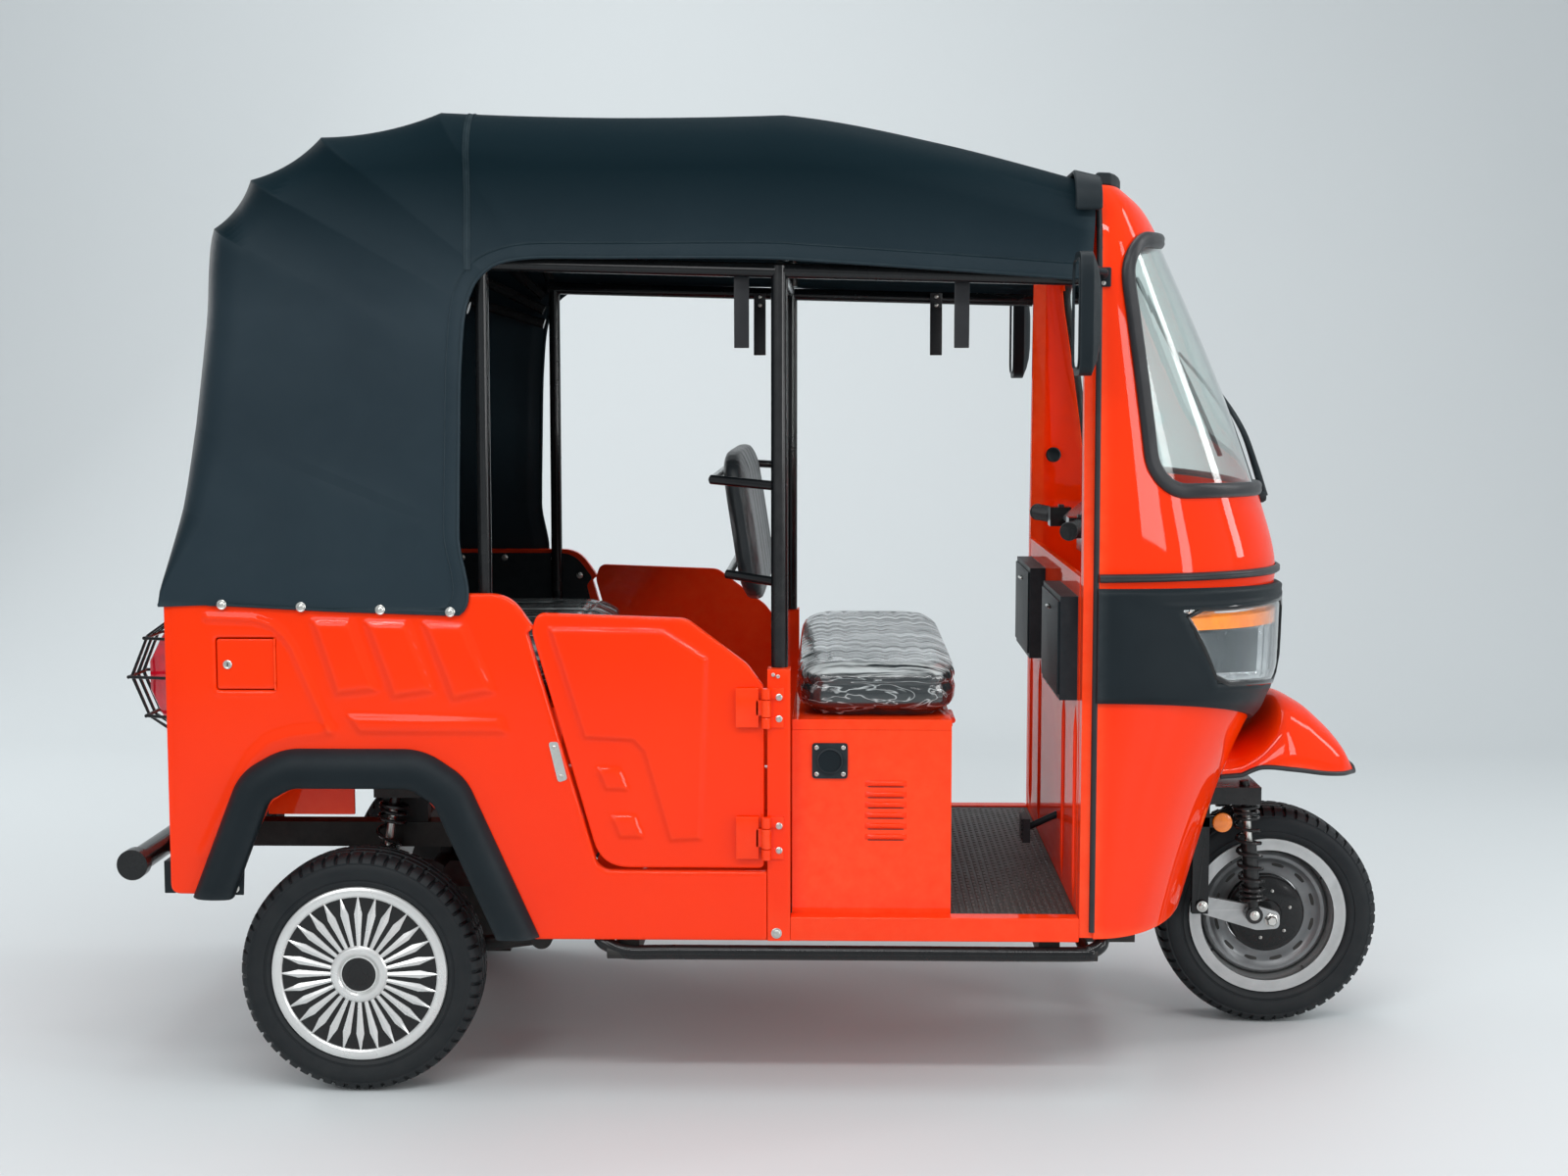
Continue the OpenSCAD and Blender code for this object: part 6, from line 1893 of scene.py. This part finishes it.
# cab interior
wallX = cabX - 26
softCopy("bulkhead", "dashboard", "vehicle", [bodyPaint, blackPlastic], bevel=4,
         segments=3, pick=lambda c, n: 0 if c.x > wallX - 0.5 and c.z < 1001 and abs(c.y) < 520
         and (c.z > 700 or c.x > wallX + 5) and n.x > -2 and (c.x > wallX) else 1 if c.x < wallX - 1 else 0)
cabFit = Maker()
for y in (-460, -250, 250, 460):        # pressed ribs up the bulkhead
    path = [(wallX, y, z) for z in np.linspace(360, 745, 30)]
    cabFit.tube(path, lambda t: 3.6 * min(1, 8 * t, 8 * (1 - t)) + 0.4, 12, 0)
for s in (-1, 1):        # doors of the two lockers, with catches
    a, b = sorted((s * 160, s * 475))
    cabFit.block((wallX - 38, a, 770), (wallX - 33, b, 950), 1, bevel=1.8)
    cabFit.tube([(wallX - 38, s * 318 - 20, 925), (wallX - 42, s * 318 - 16, 925),
                 (wallX - 42, s * 318 + 16, 925), (wallX - 38, s * 318 + 20, 925)], 3.2, 10, 2)
for k in range(5):        # ribs on the pedal's pad
    z = 421 + k * 9.5
    cabFit.block((wallX - 76, -172, z), (wallX - 73.4, -108, z + 4), 1, bevel=0.8)
cabFit.piece("cabFittings", "vehicle", [bodyPaint, blackPlastic, zincSteel], slot="black_plastic", sharp=40)

# trim board with bolts inside the passenger's end of each body side
trimBoard = Maker()
boardLine = [(-60, 842), (-60, 961), (290, 961), (333, 902), (320, 884), (330, 842)]
boardLine = roundedLine([Vector((rearX + x, 0, z)) for x, z in boardLine], [0, 0, 72, 8, 10, 0], 8)
trimBoard.prism(sideOn(boardLine), innerY - 4.5, innerY - 0.8, 1, 0)
for x, z in ((20, 950), (123, 950), (242, 948), (303, 908)):
    trimBoard.bolt((rearX + x, innerY - 4.5, z), (0, -1, 0), 5.4, 1)
trimBoard.lathe([(0, 0), (17, 0), (18, 1.5), (15, 4), (12, 2.4), (0, 2.0)],
                (rearX + 1431, sideY - 47, 1198), (0, -1, 0), 32, 0, closed=False)
trimBoard.mirrored()
trimBoard.piece("trimBoards", "vehicle", [blackPlastic, zincSteel], slot="black_plastic", sharp=40)


# frame tubes, visor, straps
softCopy("headVisor", "head_visor", "vehicle", blackPlastic, bevel=8, segments=5)
softCopy("chassisFrame", "chassis_frame", "vehicle", chassisBlack, bevel=1.6)
softCopy("rearAxle", "rear_axle", "vehicle", chassisBlack, bevel=1.6)
softCopy("roofFrame", "roof_frame", "vehicle", glossBlack, bevel=0)
softCopy("roofBows", "roof_bows", "vehicle", glossBlack, bevel=0)
stepBars = Maker()
stepLow = sillZ - 26
stepBars.tube(splinePoints([(rearX + 464, sideY - 26, sillZ - 2), (rearX + 478, sideY - 18, sillZ - 12),
                            (rearX + 520, sideY - 12, stepLow), (rearX + 620, sideY - 12, stepLow),
                            (rearX + 1000, sideY - 12, stepLow), (rearX + 1370, sideY - 12, stepLow),
                            (rearX + 1400, sideY - 14, stepLow + 4), (rearX + 1420, sideY - 20, sillZ - 12),
                            (rearX + 1426, sideY - 28, sillZ - 1)], 10), 14.2, 24)
stepBars.mirrored()
stepBars.piece("stepBars", "vehicle", glossBlack, slot="black_plastic", sharp=50)
straps = Maker()
strapY = corners("hand_straps")[1].y
for x in (rearX + 722, rearX + 1136):
    mid = x + 15
    path = [(mid, strapY - 2.5, eave - 18), (mid, strapY - 3.0, eave - 60), (mid, strapY - 4.0, eave - 110),
            (mid, strapY - 7, eave - 150), (mid, strapY - 10, eave - 162), (mid, strapY - 13, eave - 152),
            (mid, strapY - 13.5, eave - 110), (mid, strapY - 9.5, eave - 66), (mid, strapY - 6.4, eave - 50),
            (mid, strapY - 6.0, eave - 20)]
    path = splinePoints(path, 7)
    verts, faces = [], []
    for i, q in enumerate(path):
        a, b = path[max(i - 1, 0)], path[min(i + 1, len(path) - 1)]
        d = (b - a).normalized()
        nrm = Vector((0, d.z, -d.y))
        for u, v in ((-14, -1), (-12.5, -1.5), (12.5, -1.5), (14, -1), (14, 1), (12.5, 1.5), (-12.5, 1.5),
                     (-14, 1)):
            verts.append(Vector(q) + Vector((u, 0, 0)) + nrm * v)
    m = 8
    faces = skinFaces(len(path), m) + [tuple(range(m)), tuple((len(path) - 1) * m + k
                                                              for k in reversed(range(m)))]
    straps.add(verts, faces, 0)
    for z in (eave - 26, eave - 46):
        straps.bolt((mid, strapY - 7.6, z), (0, -1, 0), 3.4, 1)
straps.mirrored()
straps.piece("handStraps", "vehicle", [rubberTrim, zincSteel], "hand_straps", "black_plastic", sharp=50)


# mirrors
mirrorLow = corners("mirrors")[0]
mirrorY0, mirrorY1 = sideY + 62, sideY + 182
mirrors = Maker()
bm = bmesh.new()
bmesh.ops.create_cube(bm, size=2)
bmesh.ops.subdivide_edges(bm, edges=bm.edges[:], cuts=9, use_grid_fill=True)
for v in bm.verts:        # a shell with a flat back face and a crowned front
    q = Vector(v.co)
    norm = (abs(q.y) ** 5 + abs(q.z) ** 5) ** 0.2 or 1
    big = max(abs(q.y), abs(q.z))
    q.y, q.z = q.y / norm * big, q.z / norm * big
    bulge = 1 - 0.45 * big ** 3
    x = mirrorLow.x + 3 if q.x < 0 else mirrorLow.x + 3 + 42 * bulge
    if -1 < q.x < 1:
        x = mirrorLow.x + 3 + 42 * bulge * (q.x + 1) / 2
    lean = 8 * (q.z < 0) * q.z ** 2
    v.co = Vector((x, (mirrorY0 + mirrorY1) / 2 + q.y * 59.0 + lean * 0.5, 1489 + q.z * 110.5))
mirrors.addMesh(bm, 0)
ring = roundedLine([Vector((0, y, z)) for y, z in ((mirrorY0 + 7, 1392), (mirrorY1 - 7, 1392),
                                                   (mirrorY1 - 7, 1586), (mirrorY0 + 7, 1586))], 30, 8)
mirrors.add([(mirrorLow.x + 2.4, q.y, q.z) for q in ring] + [(mirrorLow.x + 4, q.y, q.z) for q in ring],
            [tuple(range(len(ring)))] + skinFaces(2, len(ring)), 1)
mirrors.tube([(mirrorLow.x + 2.2, q.y, q.z) for q in ring], 2.6, 8, 0, closed=True)
armStart = Vector((cabX + 4, halfW(1561) + 2, 1561))
arm = splinePoints([armStart, armStart + Vector((-2, 30, 8)), (cabX - 16, sideY + 44, 1572),
                    (cabX - 34, sideY + 72, 1575), (cabX - 36, sideY + 92, 1560)], 8)
mirrors.tube(arm, 6.8, 14, 0)
mirrors.block((cabX - 10, halfW(1561) - 1, 1543), (cabX + 18, halfW(1561) + 7, 1579), 0, bevel=3)
for z in (1550, 1572):
    mirrors.bolt((cabX + 4, halfW(1561) + 7, z), (0, 1, 0), 2.8, 2)
mirrors.mirrored()
mirrors.piece("mirrorPair", "vehicle", [blackPlastic, mirrorGlass, zincSteel], "mirrors", "mirror_case",
              sharp=40)


# steering
softCopy("frontFork", "front_fork", "steering", [glossBlack, rimSteel], bevel=2.2,
         segments=3, pick=lambda c, n: 1 if (axleZ - 22 < c.z < axleZ + 62 and c.x > frontX - 172
                                             and 60 < abs(c.y) < 93.5)
         or (c.x > frontX - 60 and c.z < axleZ + 40) else 0)
forkFit = Maker()
pivotX, pivotZ = frontX - 152, axleZ + 37
for s in (1, -1):
    forkFit.bolt((pivotX, s * 127, pivotZ), (0, s, 0), 8, 1)
    forkFit.bolt((frontX - 41, s * 124, axleZ + 17), (0, s, 0), 7, 1)
    forkFit.lathe([(0, 0), (15, 0), (15, 3), (12, 5), (11, 12), (9, 14), (0, 14)], (frontX, s * 92, axleZ),
                  (0, s, 0), 6, 1, closed=False)
    forkFit.lathe([(0, 0), (20, 0), (21, 2), (20, 4.5), (17, 6), (0, 6)],
                  (pivotX + 40, s * 118, pivotZ + 178), (0, s, 0), 36, 2, closed=False)
    forkFit.block((pivotX - 8, s * 112 - 6, pivotZ + 166), (pivotX + 34, s * 112 + 6, pivotZ + 190), 0,
                  bevel=2)
handleZ = 1050
barMid = rearX + 1481
forkFit.piece("forkFittings", "steering", [glossBlack, zincSteel, amberLens], slot="black_plastic", sharp=40)
softCopy("handlebarBody", "handlebar", "steering", glossBlack, bevel=3, segments=3)
bars = Maker()
gripEnd = 330.0
for s in (1, -1):
    a, b = Vector((barMid - 76, s * 225, handleZ + 23)), Vector((barMid - 105, s * gripEnd, handleZ + 24))
    d = (b - a)
    grip = [(0, -1), (17.6, -1), (19, 1), (19, 4), (17, 6)]
    length = d.length
    count = 14
    for k in range(count):
        h = 8 + (length - 16) * k / count
        grip += [(17.0, h), (18.3, h + 1.6), (18.3, h + 3.6), (17.0, h + 5.2)]
    grip += [(17, length - 5), (19, length - 4), (18.5, length - 1), (14, length - 0.4), (0, length - 0.4)]
    bars.lathe(grip, a, d, 28, 0, closed=False)
    lever = splinePoints([(barMid - 58, s * 186, handleZ + 22), (barMid - 24, s * 206, handleZ + 20),
                          (barMid - 22, s * 232, handleZ + 18), (barMid - 48, s * 275, handleZ + 16),
                          (barMid - 66, s * 318, handleZ + 14)], 8)
    bars.tube(lever, lambda t: 5.5 - 1.5 * t, 10, 1, flat=0.7)
    bars.tube([lever[-1] - Vector((0, s * 3, 0)), lever[-1] + Vector((0, s * 2, 0))], 5, 10, 1)
    for dx, dz in ((-66, 46), (-80, 40), (-66, 30)):
        bars.block((barMid + dx - 6, min(s * 176, s * 196), handleZ + dz - 4),
                   (barMid + dx + 6, max(s * 176, s * 196), handleZ + dz + 3), 2, bevel=1.6)
# sloping screen of the pod
bars.block((barMid - 52, -70, handleZ + 46), (barMid - 18, 70, handleZ + 52), 3, bevel=1.5,
           turn=Matrix.Rotation(math.radians(-38), 3, "Y"))
bars.piece("handlebarFittings", "steering", [rubberTrim, zincSteel, rubberTrim, darkScreen],
           slot="black_plastic", sharp=40)
stage("mirrors and steering")


# lamps at the back, wiper
tailLow, tailHigh = corners("tail_lamps")
tail = Maker()
for s in (1, -1):
    cy, zc = s * 470, (tailLow.z + tailHigh.z) / 2
    rings = [(0, 62, 100, 14), (6, 62, 100, 14), (9, 58, 96, 14), (24, 50, 74, 12), (44, 36, 40, 10),
             (50, 30, 32, 8), (51.5, 20, 22, 6)]
    verts, faces = [], []
    for depth, w, h, r in rings:
        loop = roundedLine([Vector((0, cy + u, zc + v)) for u, v in ((-w, -h), (w, -h), (w, h), (-w, h))],
                           r, 5)
        m = len(loop)
        verts += [(tailHigh.x - depth, q.y, q.z) for q in loop]
    faces = skinFaces(len(rings), m)
    faces.append(tuple((len(rings) - 1) * m + k for k in range(m)))
    tail.add(verts, faces, 0)
tail.piece("tailLamps", "vehicle", redLens, "tail_lamps", "lens_red", sharp=28)
softCopy("lampGuards", "lamp_guards", "vehicle", glossBlack, bevel=1.0, segments=2)
softCopy("rearBumper", "rear_bumper", "vehicle", [glossBlack], bevel=6, segments=4)

wiper = Maker()
base = cowlAt(9.75, 7.9, -2)
out = cowlOut(10.2, 7.9)
elbow = cowlAt(10.95, 8.0, -15)
tip = cowlAt(12.3, 11.3, -17)
wiper.lathe([(0, -4), (13, -4), (13, 10), (9, 16), (0, 16)], base, out, 24, 0, closed=False)
wiper.tube(splinePoints([base + out * 12, cowlAt(10.35, 8.0, -16), elbow, cowlAt(11.6, 9.5, -16), tip], 8),
           lambda t: 8.5 - 5.0 * t, 12, 0)
bladePath = [cowlAt(10.45 + 3.2 * t, 10.9 + 0.9 * t, -9.5) for t in np.linspace(0, 1, 20)]
wiper.tube(bladePath, 4.6, 8, 0)
wiper.tube([p - cowlOut(12, 11) * 6 for p in bladePath], 1.8, 6, 1)
wiper.piece("screenWiper", "vehicle", [blackPlastic, rubberTrim], slot="black_plastic", sharp=50)
stage("lamps and wiper")


# floor, backdrop and light
studio = {"sweep": 3.4, "radius": 2.4, "wide": 26.0, "front": -14.0, "high": 12.0,
          "pale": (0.62, 0.66, 0.67), "world": 0.54}
sweepVerts, sweepFaces = [], []
line = [(studio["front"], 0.0), (-6, 0.0), (0, 0.0), (studio["sweep"], 0.0)]
line += [(studio["sweep"] + studio["radius"] * math.sin(a), studio["radius"] * (1 - math.cos(a)))
         for a in np.linspace(0.05, math.pi / 2, 24)]
line += [(studio["sweep"] + studio["radius"], studio["high"])]
for y, z in line:
    for x in np.linspace(-studio["wide"], studio["wide"], 9):
        sweepVerts.append((x, y, z - 0.0005))
sweepFaces = [(i * 9 + k, i * 9 + k + 1, i * 9 + k + 10, i * 9 + k + 9) for i in range(len(line) - 1)
              for k in range(8)]
sweepMesh = bpy.data.meshes.new("studioSweep")
sweepMesh.from_pydata(sweepVerts, [], sweepFaces)
for poly in sweepMesh.polygons:
    poly.use_smooth = True
sweep = bpy.data.objects.new("studioSweep", sweepMesh)
scene.collection.objects.link(sweep)
sweepFinish = finish("studioPaper", studio["pale"], tuple(c * 0.985 for c in studio["pale"]), rough=0.55,
                     roughSwing=0.03, grain=300, broad=0.3, bump=0.02, depth=0.001)
sweepMesh.materials.append(sweepFinish)

world = bpy.data.worlds.new("studioWorld")
scene.world = world
world.use_nodes = True
tree = world.node_tree
background = tree.nodes["Background"]
background.inputs["Color"].default_value = (0.93, 0.96, 1.0, 1)
background.inputs["Strength"].default_value = studio["world"]


def softbox(name, place, aim, size, power, colour=(1, 1, 1)):
    data = bpy.data.lights.new(name, "AREA")
    data.shape = "RECTANGLE"
    data.size, data.size_y = size
    data.energy = power
    data.color = colour
    light = bpy.data.objects.new(name, data)
    scene.collection.objects.link(light)
    light.location = place
    light.rotation_euler = (Vector(aim) - Vector(place)).to_track_quat("-Z", "Y").to_euler()


softbox("overhead", (0.2, -0.2, 4.6), (0.0, -0.1, 0.5), (4.5, 2.2), 85)
softbox("ridgeStrip", (0.2, -3.7, 4.3), (0.0, -0.5, 0.7), (5.0, 0.30), 95)
softbox("keySide", (-2.6, -5.2, 3.2), (0.0, 0.0, 0.9), (2.4, 2.4), 72)
softbox("frontStrip", (5.2, -2.6, 2.2), (0.9, 0.0, 1.1), (0.7, 3.2), 60)
softbox("noseStrip", (4.8, 1.2, 2.6), (0.9, 0.0, 1.2), (0.6, 3.0), 40)
softbox("backFill", (-4.5, 2.8, 2.8), (-0.6, 0.0, 1.0), (2.0, 2.6), 60)
softbox("frontFill", (4.2, -4.4, 1.6), (1.1, -0.1, 0.6), (1.6, 1.2), 45)
softbox("paperWash", (-1.4, 2.4, 4.2), (-1.8, 6.0, 1.2), (3.0, 1.0), 44)
scene.view_settings.view_transform = "Standard"
stage("studio set")
